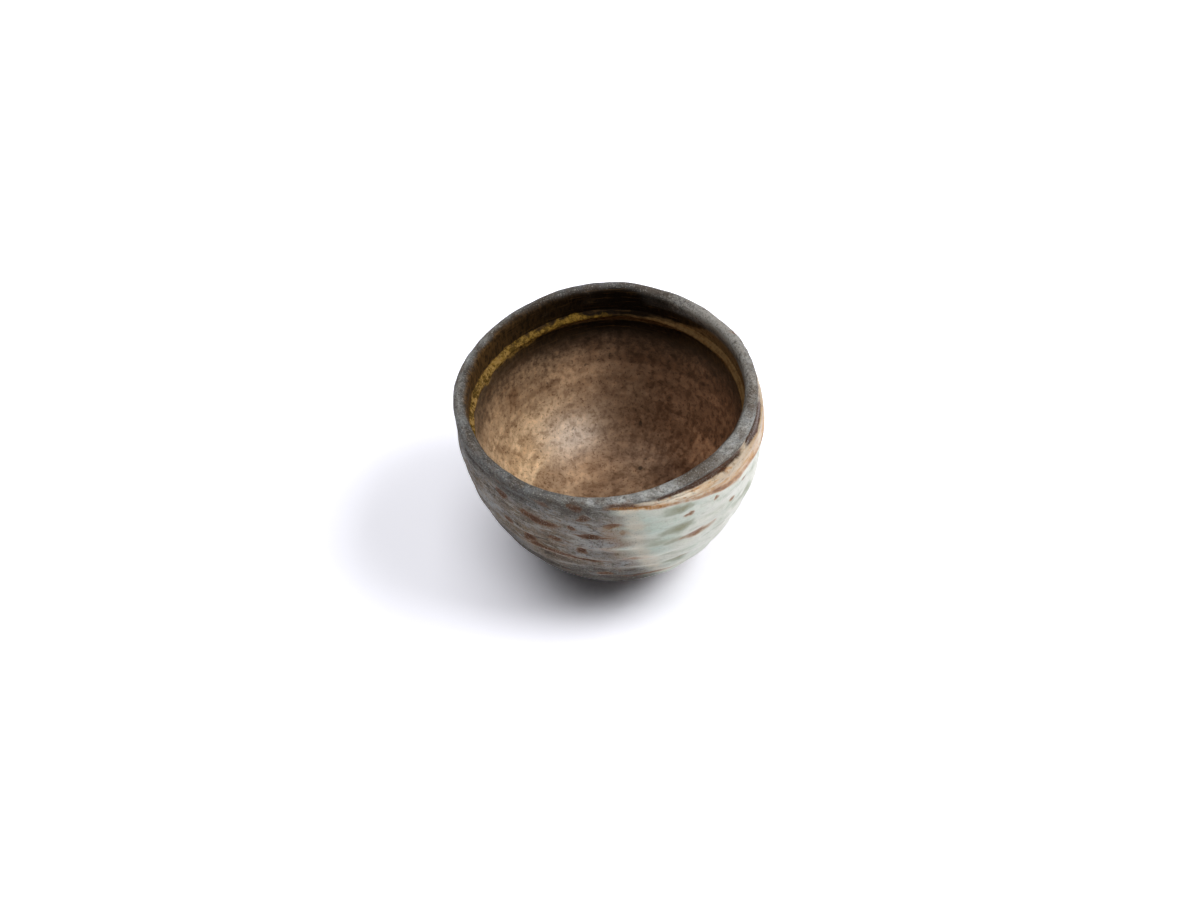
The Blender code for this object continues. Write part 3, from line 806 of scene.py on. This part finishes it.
def make_coat():
    """The celadon: a pillow over part of the wall, whose face dips below the clay at its wandering edge.

    Its thickness is a coat's, times how far the glaze covers the wall, with lumps where the glaze ran. Face
    and back share their rim, so a corner triangle whose points all lie on the rim is left out of both.
    """
    angle = np.radians(np.linspace(*COAT_REACH_DEGREES, COAT_COLUMNS))[None, :]
    wall_height = SKIN["wall"][:, 1]
    keep = (wall_height > COAT_BOTTOM - 5.0) & (wall_height < COAT_TOP)
    line, normals = SKIN["wall"][keep], NORMALS["wall"][keep]
    radius, height = line[:, :1], line[:, 1:]
    degrees = np.degrees(angle)
    points = plain_points(radius, angle, height)
    wander = cloud(points, (6.0, 6.0, 9.0), 81)
    cover = coat_cover(degrees + 4.0 * wander, height, 8.0)
    cover = cover * smooth_step(COAT_BOTTOM - 3.0, COAT_BOTTOM + 2.0, height + 3.0 * wander)
    cover = cover * smooth_step(COAT_TOP - 0.2, COAT_TOP - 1.2, height)
    lumps = 0.20 * cloud(points, (8.0, 8.0, 3.0), 82) + 0.14 * cloud(points, (5.0, 5.0, 1.5), 83)
    relief = skin_relief("wall", angle, radius, height)
    face = relief + (COAT_THICKNESS + lumps) * cover - COAT_SINK
    hidden = relief - COAT_BACK
    inner = (slice(1, -1), slice(1, -1))
    front = np.arange(face.size).reshape(face.shape)
    behind = front.copy()
    behind[inner] = face.size + np.arange(face[inner].size).reshape(face[inner].shape)
    faces = np.concatenate([patch_triangles(front), patch_triangles(behind)[:, ::-1]])
    faces = faces[~np.isin(faces, np.intersect1d(front, behind)).all(axis=1)]
    face_points = raised_grid(line, normals, angle, face).reshape(-1, 3)
    hidden_points = raised_grid(line, normals, angle, hidden)[inner].reshape(-1, 3)
    masks = painted(line, angle, (wall_paint, mouth_paint))
    paint = {name: np.concatenate([values.ravel(), values[inner].ravel()]) for name, values in masks.items()}
    return mesh_piece("celadon_run", np.concatenate([face_points, hidden_points]), faces, paint)


def make_foot(angle):
    """The foot ring: a tapered, bevelled ring with a worn flat foot."""
    low_out = FOOT_RADIUS - FOOT_TAPER
    low_in = FOOT_INNER_RADIUS + FOOT_TAPER
    top = FOOT_HEIGHT + GROOVE_DEPTH - 0.1
    flat_in, flat_out = low_in + FOOT_BEVEL, low_out - FOOT_BEVEL
    outer = arc((flat_out, FOOT_BEVEL), FOOT_BEVEL, -90, 0, BEVEL_ROWS)
    inner = arc((flat_in, FOOT_BEVEL), FOOT_BEVEL, 180, 270, BEVEL_ROWS)
    sides = np.linspace(FOOT_BEVEL, top, FOOT_ROWS)[1:]
    up = np.stack([np.interp(sides, (FOOT_BEVEL, top), (low_out, FOOT_RADIUS)), sides], axis=1)
    down = np.stack([np.interp(sides, (FOOT_BEVEL, top), (low_in, FOOT_INNER_RADIUS)), sides], axis=1)[::-1]
    flat = level(np.linspace(flat_in, flat_out, RIM_ROWS)[1:-1], 0.0)
    line = np.concatenate([flat, outer, up, down, inner])
    normals = line_normals(np.concatenate([line[-1:], line, line[:1]]))[1:-1]
    radius, height = line[:, :1], line[:, 1:]
    points = plain_points(radius, angle, height)
    relief = 0.12 * cloud(points, 4.0, 91) + 0.08 * cloud(points, (9.0, 9.0, 0.8), 92)
    relief = relief * smooth_step(0.3, 1.5, height) * smooth_step(FOOT_HEIGHT, FOOT_HEIGHT - 0.5, height)
    grid = raised_grid(line, normals, angle, relief)
    upper = len(flat) + len(outer) + len(up)
    return ring_piece("trimmed_foot", grid, {}, wrap_rows=True, sharp_rows=[upper - 1, upper])


# How a coat of colour is laid on that multiplies what lies under it
TINT = "MULTIPLY"


class Nodes:
    """Short calls that add nodes to a material's or a group's tree and link them."""

    def __init__(self, tree):
        self.tree = tree

    def add(self, kind, **settings):
        node = self.tree.nodes.new(kind)
        for name, value in settings.items():
            setattr(node, name, value)
        return node

    def put(self, socket, value):
        """Links a socket to the input, or sets the input's own value."""
        if isinstance(value, bpy.types.NodeSocket):
            self.tree.links.new(value, socket)
        elif isinstance(value, tuple) and len(value) == 3 and socket.type == "RGBA":
            socket.default_value = (*value, 1.0)
        else:
            socket.default_value = value

    def mask(self, name):
        """The mesh's own mask of that name."""
        return self.add("ShaderNodeAttribute", attribute_name=name).outputs["Fac"]

    def noise(self, size_mm, detail=3.0, roughness=0.55, stretch=1.0, tilt=LAYER_TILT):
        """Noise on Object coordinates, with features of about a size, stretched along tilted layers."""
        mapping = self.add("ShaderNodeMapping", vector_type="TEXTURE")
        self.put(mapping.inputs["Vector"], self.add("ShaderNodeTexCoord").outputs["Object"])
        mapping.inputs["Rotation"].default_value = (0.0, math.atan(tilt), 0.0)
        wide = size_mm * stretch * MM
        mapping.inputs["Scale"].default_value = (wide, wide, size_mm * MM)
        node = self.add("ShaderNodeTexNoise")
        self.put(node.inputs["Vector"], mapping.outputs["Vector"])
        node.inputs["Scale"].default_value = 1.0
        node.inputs["Detail"].default_value = detail
        node.inputs["Roughness"].default_value = roughness
        return node.outputs["Fac"]

    def math(self, operation, *values):
        node = self.add("ShaderNodeMath", operation=operation)
        for socket, value in zip(node.inputs, values):
            self.put(socket, value)
        return node.outputs["Value"]

    def times(self, first, second):
        return self.math("MULTIPLY", first, second)

    def weighed(self, *pairs):
        """The sum of values, each times its weight."""
        total = 0.0
        for value, weight in pairs:
            total = self.math("MULTIPLY_ADD", value, weight, total)
        return total

    def step(self, value, low, high, to_low=0.0, to_high=1.0):
        """A smooth step from one value to another as the input goes from low to high."""
        node = self.add("ShaderNodeMapRange", interpolation_type="SMOOTHSTEP")
        for socket, setting in zip(node.inputs, (value, low, high, to_low, to_high)):
            self.put(socket, setting)
        return node.outputs["Result"]

    def join(self, kind, share, first, second, **settings):
        """Two colours or two values joined by a share."""
        data_type = {"Color": "RGBA", "Float": "FLOAT"}[kind]
        node = self.add("ShaderNodeMix", data_type=data_type, clamp_factor=True, **settings)
        sockets = {socket.identifier: socket for socket in (*node.inputs, *node.outputs)}
        for name, value in (("Factor_Float", share), ("A_" + kind, first), ("B_" + kind, second)):
            self.put(sockets[name], value)
        return sockets["Result_" + kind]

    def mix(self, share, first, second, how="MIX"):
        """Two colours mixed by a share, or multiplied by it."""
        return self.join("Color", share, first, second, blend_type=how)

    def blend(self, share, first, second):
        """Two values mixed by a share."""
        return self.join("Float", share, first, second)

    def layers(self, colour, *coats):
        """A colour under coats laid on in turn: each coat's share and colour, and TINT if it multiplies."""
        for share, coat, *how in coats:
            colour = self.mix(share, colour, coat, *how)
        return colour

    def broken(self, mask, noise, low, high, reach):
        """A mask whose edge is broken up by noise, as a smooth step of the two together."""
        shifted = self.times(self.math("SUBTRACT", noise, 0.5), reach)
        return self.step(self.math("ADD", mask, shifted), low, high)

    def torn(self, mask, noise, low, high, reach):
        """A soft fleck torn by noise: a smooth step of the mask times one plus the noise's swing."""
        swing = self.math("MULTIPLY_ADD", noise, reach, 1.0 - reach / 2)
        return self.step(self.times(mask, swing), low, high)


def node_group(name, outputs):
    """A new shader group with the given outputs, with its wrapper and its output node."""
    tree = bpy.data.node_groups.new(name, "ShaderNodeTree")
    for label, kind in outputs:
        tree.interface.new_socket(label, in_out="OUTPUT", socket_type=kind)
    nodes = Nodes(tree)
    return tree, nodes, nodes.add("NodeGroupOutput")


# The shine inside the mouth, and each skin's bump in millimetres and shine
MOUTH_SHINE = 0.03
SKIN_FINISH = {
    "fired_clay": (0.16, 0.16), "ashed_lip": (0.14, 0.16), "celadon": (0.12, 0.42),
    "ash_bead": (0.16, MOUTH_SHINE), "brown_glaze": (0.10, 0.28),
}
FOOT_BUMP = 0.12
SKIN_OUTPUTS = (("Color", "NodeSocketColor"), ("Roughness", "NodeSocketFloat"), ("Height", "NodeSocketFloat"))


def fired_wall_group():
    """Colour, roughness and fine height of the wall: clay, rust, celadon, peach, the seam and the lip."""
    tree, n, out = node_group("fired_wall", SKIN_OUTPUTS)
    fibre = n.noise(0.7, 4.0, 0.65, stretch=7.0)
    layer = n.noise(3.0, 3.0, 0.6, stretch=4.0)
    drift = n.noise(13.0, 2.0, 0.5, stretch=1.6)
    grain = n.noise(0.45, 2.0, 0.6)
    grit = n.noise(0.95, 3.0, 0.7, stretch=1.8)
    patch = n.noise(2.4, 4.0, 0.65, stretch=1.7)
    blotch = n.noise(4.2, 3.0, 0.6, stretch=2.2)
    vein = n.math("ABSOLUTE", n.math("SUBTRACT", n.noise(3.4, 2.0, 0.5, stretch=5.0), 0.5))
    crack = n.times(n.step(vein, 0.010, 0.036, 1.0, 0.0), n.step(patch, 0.44, 0.58))
    streaks = n.weighed((fibre, 0.35), (layer, 0.35), (grit, 0.30))
    ragged = n.weighed((patch, 0.6), (grit, 0.4))
    lip_edge_dark_and_groove_shade = n.mask("lip_edge_dark_and_groove_shade")
    recess = n.mask("recess")

    fleck = n.noise(1.6, 3.0, 0.6, stretch=3.0)
    rust = n.mask("rust")
    spatter = n.weighed((patch, 0.35), (grit, 0.65))
    rust_halo = n.torn(rust, spatter, 0.10, 0.40, 2.6)
    rust_core = n.torn(rust, spatter, 0.30, 0.70, 3.0)
    bluish = n.mask("bluish")
    stain = n.torn(n.mask("stain"), n.weighed((patch, 0.5), (layer, 0.5)), 0.15, 0.95, 2.4)
    clay = n.layers(
        CLAY_BROWN,
        (n.step(streaks, 0.43, 0.56), CLAY_BLUE),
        (n.step(drift, 0.44, 0.70, 0.0, 0.5), CLAY_WARM),
        (n.times(recess, n.step(fibre, 0.35, 0.62, 0.1, 0.6)), CLAY_UMBER),
        (n.times(n.mask("toasted"), 0.5), CLAY_WARM),
        (n.times(bluish, 0.6), CLAY_MIST),
        (n.step(patch, 0.50, 0.66, 0.0, 0.6), CLAY_BROWN),
        (n.step(blotch, 0.42, 0.60, 0.0, 0.85), CLAY_SHADE, TINT),
        (n.step(grit, 0.50, 0.66, 0.0, 0.8), CLAY_UMBER),
        (n.step(fibre, 0.47, 0.32, 0.0, 0.7), CLAY_PALE),
        (n.times(bluish, 0.2), CLAY_PALE),
        (n.times(crack, 0.6), CLAY_DARK),
        # Painted shade towards the base of the wall
        (n.times(n.mask("lower_wall_shade"), n.step(streaks, 0.40, 0.60, 0.95, 0.7)), CLAY_DARK),
        # Darker lip edge, and painted shade in the groove under the lip
        (n.times(lip_edge_dark_and_groove_shade, n.step(ragged, 0.42, 0.60, 0.8, 0.4)), CLAY_DARK),
        (n.step(fleck, 0.60, 0.74, 0.0, 0.7), RUST_WARM),
        (n.times(rust_halo, 0.8), RUST_WARM),
        (n.times(rust_core, 0.9), RUST_BROWN),
        (n.times(stain, 0.6), CLAY_STAIN),
    )

    # The celadon turns whiter and less minty on the right: partly thicker glaze, partly painted light
    thick_glaze_and_lit_side = n.mask("thick_glaze_and_lit_side")
    mint = n.times(n.step(drift, 0.34, 0.58), n.math("MULTIPLY_ADD", thick_glaze_and_lit_side, -0.7, 1.0))
    white = n.times(n.step(streaks, 0.42, 0.58, 0.35, 1.0), n.math("MULTIPLY_ADD", thick_glaze_and_lit_side, 0.6, 0.35))
    pool = n.mask("pool")
    green = n.layers(
        CELADON_PALE,
        (mint, CELADON_MINT),
        (white, CELADON_WHITE),
        (n.step(fibre, 0.55, 0.68, 0.0, 0.5), CELADON_SHADE),
        (n.times(recess, n.step(patch, 0.35, 0.65, 0.15, 0.75)), POOL_GREEN),
        (n.times(crack, n.step(blotch, 0.50, 0.66, 0.0, 0.35)), POOL_OLIVE),
        (n.times(n.torn(pool, ragged, 0.08, 0.55, 2.0), 0.8), POOL_GREEN),
        (n.times(n.torn(pool, streaks, 0.30, 0.95, 2.0), 0.85), POOL_OLIVE),
        (n.times(rust_halo, 0.7), RUST_TAN),
        (n.times(rust_core, 0.9), RUST_DEEP),
    )

    peach = n.layers(
        CREAM,
        (n.step(layer, 0.40, 0.60), PEACH),
        (n.step(n.mask("band_up"), 0.30, 0.95, 0.0, 0.8), BAND_GREY),
        (n.times(n.mask("pale_band"), 0.9), HALO_CREAM),
        (n.step(fibre, 0.52, 0.66, 0.0, 0.75), RUST_ORANGE),
        (n.step(grit, 0.56, 0.68, 0.0, 0.45), RUST_BROWN),
        (n.step(grit, 0.44, 0.30, 0.0, 0.5), CREAM),
    )

    pale_lip = n.mask("pale_lip")
    ash = n.broken(n.mask("ash"), grit, 0.45, 1.00, 1.6)
    lip = n.layers(
        LIP_GREY,
        (n.times(pale_lip, n.step(ragged, 0.36, 0.58, 0.25, 1.0)), LIP_PALE),
        (n.step(blotch, 0.42, 0.62, 0.1, 0.75), LIP_UMBER),
        (n.step(layer, 0.42, 0.60, 0.0, 0.75), CLAY_SHADE, TINT),
        (n.step(patch, 0.54, 0.72, 0.0, 0.45), LIP_DARK),
        (n.step(fibre, 0.53, 0.66, 0.0, 0.6), LIP_UMBER),
        (n.times(n.step(fibre, 0.46, 0.33, 0.0, 0.6), pale_lip), LIP_PALE),
        # Darker lip edge, and painted shade in the groove under the lip
        (n.times(lip_edge_dark_and_groove_shade, n.step(ragged, 0.40, 0.60, 0.95, 0.6)), LIP_DARK),
        (n.times(ash, 0.5), ASH_PALE),
        (n.step(grit, 0.55, 0.68, 0.0, 0.65), LIP_DARK),
    )

    cover = n.broken(n.mask("celadon"), n.weighed((streaks, 0.6), (patch, 0.4)), 0.05, 0.95, 1.2)
    peach_share = n.broken(n.mask("peach"), ragged, 0.20, 0.95, 1.8)
    lip_share = n.broken(n.mask("lip"), ragged, 0.10, 0.90, 1.6)
    over_clay = n.math("MAXIMUM", lip_share, peach_share)
    glossy = n.times(cover, n.math("SUBTRACT", 1.0, lip_share))
    iron = n.mask("iron")
    seam = n.broken(n.mask("seam"), ragged, 0.30, 0.70, 0.9)
    n.put(out.inputs["Color"], n.layers(
        clay,
        (cover, green),
        (n.times(n.torn(n.mask("cream"), ragged, 0.10, 1.00, 2.6), 0.8), HALO_CREAM),
        (peach_share, peach),
        (n.times(n.torn(iron, ragged, 0.10, 0.70, 2.6), 0.9), RUST_ORANGE),
        (n.times(n.torn(iron, ragged, 0.50, 1.05, 4.0), 0.85), RUST_DEEP),
        (lip_share, lip),
        (n.times(rust_halo, n.times(over_clay, 0.5)), RUST_WARM),
        (n.times(rust_core, n.times(over_clay, 0.8)), RUST_BROWN),
        (seam, n.mix(n.step(streaks, 0.45, 0.60), SEAM_BROWN, RUST_BROWN)),
        (n.step(grain, 0.54, 0.74, 0.0, 0.48), ASH_PALE),
        (n.times(n.step(grain, 0.46, 0.27, 0.0, 0.66), n.blend(glossy, 1.0, 0.3)), LIP_DARK),
    ))

    dry = n.step(fibre, 0.3, 0.7, 0.62, 0.80)
    n.put(out.inputs["Roughness"], n.blend(glossy, dry, n.step(patch, 0.3, 0.7, 0.34, 0.50)))
    rough_height = n.weighed((streaks, 0.9), (grain, 0.5), (crack, -0.5))
    n.put(out.inputs["Height"], n.times(rough_height, n.blend(glossy, 1.0, 0.35)))
    return tree


def mouth_group():
    """Colour, roughness and fine height inside the mouth: black-brown and tan glaze, and ochre ash."""
    tree, n, out = node_group("mouth_glaze", SKIN_OUTPUTS)
    rings = n.noise(0.6, 3.0, 0.6, stretch=14.0, tilt=0.0)
    grains = n.noise(1.2, 3.0, 0.65)
    fine = n.noise(0.6, 2.0, 0.6)
    patch = n.noise(3.0, 3.0, 0.6)
    drips = n.noise(2.6, 3.0, 0.6, stretch=0.3, tilt=0.0)
    warm = n.mask("warm")
    lit = n.weighed((warm, 0.85), (n.step(patch, 0.52, 0.75), 0.12))
    lumps = n.weighed((grains, 0.35), (fine, 0.25), (patch, 0.40))
    tan = n.layers(
        MOUTH_BROWN,
        (n.step(rings, 0.36, 0.60), MOUTH_TAN),
        (n.step(grains, 0.46, 0.64, 0.0, 0.7), BASIN_SHADE, TINT),
    )
    ochre = n.layers(
        OCHRE,
        (n.times(warm, n.step(grains, 0.40, 0.60, 0.2, 0.9)), OCHRE_TAN),
        (n.step(lumps, 0.56, 0.42, 0.0, 0.8), OCHRE_DARK),
    )
    ochre_share = n.broken(n.mask("ochre"), grains, 0.12, 0.95, 1.0)
    # The near-black at the back is partly the glaze's own colour and partly painted shade; brown glaze shows
    # on the sides
    n.put(out.inputs["Color"], n.layers(
        MOUTH_BLACK,
        (n.times(lit, n.step(drips, 0.36, 0.62, 0.25, 1.0)), MOUTH_BROWN),
        (n.step(rings, 0.54, 0.68, 0.0, 0.25), MOUTH_BROWN),
        (n.broken(n.mask("tan"), n.weighed((patch, 0.5), (rings, 0.5)), 0.10, 0.95, 1.6), tan),
        (ochre_share, ochre),
    ))
    n.put(out.inputs["Roughness"], n.blend(ochre_share, n.step(grains, 0.3, 0.7, 0.50, 0.66), 0.78))
    n.put(out.inputs["Height"], n.weighed((grains, 0.8), (rings, 0.4), (fine, 0.3)))
    return tree


def basin_group():
    """Colour, roughness and fine height of the basin's satin brown glaze, mottled and speckled."""
    tree, n, out = node_group("basin_glaze", SKIN_OUTPUTS)
    mottle = n.noise(2.0, 4.0, 0.7)
    cloudy = n.noise(7.0, 3.0, 0.55)
    speck = n.noise(0.9, 2.0, 0.6)
    spot = n.noise(1.9, 1.0, 0.4)
    tone = n.weighed((n.mask("swirl"), 0.5), (cloudy, 0.5))
    umber_and_shaded_side = n.mask("umber_and_shaded_side")
    n.put(out.inputs["Color"], n.layers(
        BASIN_TAN,
        # Sandy and deep brown sides: partly the glaze, partly painted light and shade
        (n.mask("sand_and_lit_side"), BASIN_SAND_LIT),
        (umber_and_shaded_side, BASIN_UMBER_SHADED),
        (n.step(tone, 0.40, 0.57, 0.65, 0.0), BASIN_SHADE, TINT),
        (n.step(tone, 0.54, 0.70, 0.0, 0.35), BASIN_LIGHT, TINT),
        # Painted highlight
        (n.times(n.mask("painted_highlight"), n.step(cloudy, 0.35, 0.60, 0.50, 0.90)), BASIN_PAINTED_HIGHLIGHT),
        (n.times(n.mask("dim"), n.step(tone, 0.44, 0.60, 1.0, 0.65)), BASIN_SHADE, TINT),
        (n.times(n.mask("lit"), n.step(tone, 0.40, 0.58, 0.75, 1.0)), BASIN_GLOW, TINT),
        (n.step(mottle, 0.48, 0.63, 0.0, 0.70), BASIN_SHADE, TINT),
        (n.step(mottle, 0.49, 0.34, 0.0, 0.6), BASIN_LIGHT, TINT),
        (n.times(umber_and_shaded_side, n.step(spot, 0.50, 0.62, 0.0, 0.8)), BASIN_SHADE, TINT),
        (n.step(speck, 0.57, 0.70, 0.0, 0.8), BASIN_SPECK, TINT),
        (n.step(spot, 0.72, 0.80, 0.0, 0.6), BASIN_DARK),
        (n.times(n.torn(n.mask("iron_spot"), speck, 0.20, 0.62, 1.0), 0.8), BASIN_DARK),
        (n.times(n.mask("ring"), 0.25), BASIN_BROWN),
        # Dark rim below the bead: partly its glaze, partly painted shade
        (n.times(n.broken(n.mask("rim_dark_and_shade"), mottle, 0.05, 0.95, 0.8), 0.85), BASIN_DARK),
    ))
    n.put(out.inputs["Roughness"], n.step(mottle, 0.3, 0.7, 0.32, 0.42))
    n.put(out.inputs["Height"], n.weighed((speck, 0.5), (mottle, 0.7)))
    return tree


def new_material(name):
    """A material with its wrapper and its shader."""
    material = bpy.data.materials.new(name)
    material.use_nodes = True
    return material, Nodes(material.node_tree), material.node_tree.nodes["Principled BSDF"]


def link_shader(n, shader, colour, roughness, height, bump_mm):
    """Gives a shader its colour, its roughness and a bump of so many millimetres."""
    bump = n.add("ShaderNodeBump")
    bump.inputs["Strength"].default_value = 1.0
    bump.inputs["Distance"].default_value = bump_mm * MM
    n.put(bump.inputs["Height"], height)
    for name, value in (("Base Color", colour), ("Roughness", roughness), ("Normal", bump.outputs["Normal"])):
        n.put(shader.inputs[name], value)


def skin_material(name, outer, inner):
    """A fired skin: the outer group, and the inner one, if there is one, by the mask of how far inside."""
    material, n, shader = new_material(name)
    bump_mm, shine = SKIN_FINISH[name]
    first = n.add("ShaderNodeGroup", node_tree=outer).outputs
    colour, roughness, height = first["Color"], first["Roughness"], first["Height"]
    if inner is not None:
        second = n.add("ShaderNodeGroup", node_tree=inner).outputs
        inside = n.step(n.mask("inside"), 0.08, 0.92)
        colour = n.mix(inside, colour, second["Color"])
        roughness = n.blend(inside, roughness, second["Roughness"])
        height = n.blend(inside, height, second["Height"])
        shine = n.blend(inside, shine, MOUTH_SHINE)
    n.put(shader.inputs["Specular IOR Level"], shine)
    link_shader(n, shader, colour, roughness, height, bump_mm)
    return material


def foot_material():
    """Bare trimmed clay, toasted brown, with grit."""
    material, n, shader = new_material("bare_foot_clay")
    tone = n.noise(2.2, 4.0, 0.6, stretch=3.0)
    grit = n.noise(0.6, 2.0, 0.6)
    skin = n.layers(
        FOOT_DARK,
        (n.step(tone, 0.35, 0.65), FOOT_BROWN),
        (n.step(grit, 0.62, 0.75, 0.0, 0.5), CLAY_BLUE),
    )
    link_shader(n, shader, skin, n.step(tone, 0.3, 0.7, 0.75, 0.9), grit, FOOT_BUMP)
    return material


def make_cup():
    """All six pieces, each in the place of its solid."""
    angle = np.linspace(-np.pi, np.pi, COLUMNS, endpoint=False)[None, :]
    wall, mouth, basin = fired_wall_group(), mouth_group(), basin_group()
    stands_for(make_bowl(angle), "thrown_bowl", skin_material("fired_clay", wall, mouth))
    stands_for(make_lip(angle), "lip_roll", skin_material("ashed_lip", wall, mouth))
    stands_for(make_coat(), "celadon_coat", skin_material("celadon", wall, mouth))
    stands_for(make_bead(angle), "ash_bead", skin_material("ash_bead", mouth, None))
    stands_for(make_basin(angle), "basin_glaze", skin_material("brown_glaze", basin, mouth))
    stands_for(make_foot(angle), "foot_ring", foot_material())


# The studio: a white floor, soft lights on the right and above, a pale room, and the camera
FLOOR_HALF = 3.0
FLOOR_WHITE = (0.85, 0.85, 0.85)
FLOOR_LIT = 0.30
FLOOR_FAR = 0.80
FLOOR_SEEN_WHITE = (1.44, 1.44, 1.54)
LENS_MM = 85.0
SENSOR_MM = 36.0
CAMERA_TARGET = Vector((-0.00284, 0.0, 0.03848))
CAMERA_ELEVATION = math.radians(48.25)
CAMERA_DISTANCE = 0.8474
CAMERA_ROLL = math.radians(-2.5)
ROOM_LIGHT = 0.05
ROOM_COLOUR = (0.96, 0.98, 1.0)

# Softboxes: name, azimuth, elevation, distance, width, height, power, whether it lights, whether it shines
SOFTBOXES = (
    ("right_softbox", -8.0, 52.0, 1.00, 0.50, 0.50, 5.9, True, False),
    ("top_softbox", 180.0, 77.0, 1.20, 0.95, 0.95, 9.0, True, False),
    ("right_fill", 12.0, 22.0, 1.00, 0.60, 0.45, 1.5, True, False),
    ("front_glint", -40.0, 43.0, 1.00, 0.32, 0.32, 5.5, False, True),
)


def make_floor():
    """A wide white floor under the foot, whiter to the camera than to the cup, so shadows stay near the cup.

    Where the lamps no longer reach, the floor glows white to the camera alone.
    """
    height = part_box("foot_ring")[0].z
    mesh = bpy.data.meshes.new("floor")
    corners = [(x * FLOOR_HALF, y * FLOOR_HALF, height) for x, y in ((-1, -1), (1, -1), (1, 1), (-1, 1))]
    mesh.from_pydata(corners, [], [(0, 1, 2, 3)])
    floor = bpy.data.objects.new("studio_floor", mesh)
    bpy.context.scene.collection.objects.link(floor)
    material = bpy.data.materials.new("white_floor")
    material.use_nodes = True
    n = Nodes(material.node_tree)
    material.node_tree.nodes.clear()
    diffuse = n.add("ShaderNodeBsdfDiffuse")
    path = n.add("ShaderNodeLightPath")
    seen = n.math("MAXIMUM", path.outputs["Is Camera Ray"], path.outputs["Is Glossy Ray"])
    n.put(diffuse.inputs["Color"], n.mix(seen, FLOOR_WHITE, FLOOR_SEEN_WHITE))
    away = n.add("ShaderNodeVectorMath", operation="LENGTH")
    n.put(away.inputs[0], n.add("ShaderNodeTexCoord").outputs["Object"])
    glow = n.add("ShaderNodeEmission")
    far = n.step(away.outputs["Value"], FLOOR_LIT, FLOOR_FAR)
    n.put(glow.inputs["Strength"], n.times(path.outputs["Is Camera Ray"], far))
    both = n.add("ShaderNodeAddShader")
    n.put(both.inputs[0], diffuse.outputs[0])
    n.put(both.inputs[1], glow.outputs[0])
    n.put(n.add("ShaderNodeOutputMaterial").inputs["Surface"], both.outputs[0])
    mesh.materials.append(material)


def make_light():
    """Softboxes aimed at the cup, and an even pale room that the camera sees as white."""
    for name, azimuth, elevation, distance, width, height, power, lights, shines in SOFTBOXES:
        light = bpy.data.lights.new(name, "AREA")
        light.shape = "RECTANGLE"
        light.size = width
        light.size_y = height
        light.energy = power
        lamp = bpy.data.objects.new(name, light)
        lamp.visible_diffuse = lights
        lamp.visible_glossy = shines
        turn, rise = math.radians(azimuth), math.radians(elevation)
        back = Vector((math.cos(rise) * math.cos(turn), math.cos(rise) * math.sin(turn), math.sin(rise)))
        lamp.location = CAMERA_TARGET + distance * back
        lamp.rotation_euler = back.to_track_quat("Z", "Y").to_euler()
        bpy.context.scene.collection.objects.link(lamp)
    world = bpy.data.worlds.new("pale_room")
    world.use_nodes = True
    n = Nodes(world.node_tree)
    ground = world.node_tree.nodes["Background"]
    path = n.add("ShaderNodeLightPath")
    seen = n.math("MAXIMUM", path.outputs["Is Camera Ray"], path.outputs["Is Transmission Ray"])
    n.put(ground.inputs["Strength"], n.blend(seen, ROOM_LIGHT, 1.0))
    ground.inputs["Color"].default_value = (*ROOM_COLOUR, 1.0)
    bpy.context.scene.world = world


def make_camera():
    """The photograph's view: down on the cup from the front, turned a little about the line of sight."""
    camera = bpy.data.cameras.new("camera")
    camera.lens = LENS_MM
    camera.sensor_width = SENSOR_MM
    holder = bpy.data.objects.new("camera", camera)
    back = Vector((0.0, -math.cos(CAMERA_ELEVATION), math.sin(CAMERA_ELEVATION)))
    turn = Matrix.Rotation(math.pi / 2 - CAMERA_ELEVATION, 4, "X") @ Matrix.Rotation(CAMERA_ROLL, 4, "Z")
    holder.matrix_world = Matrix.Translation(CAMERA_TARGET + CAMERA_DISTANCE * back) @ turn
    bpy.context.scene.collection.objects.link(holder)
    bpy.context.scene.camera = holder


make_cup()
make_floor()
make_light()
make_camera()
bpy.context.scene.view_settings.view_transform = "Standard"
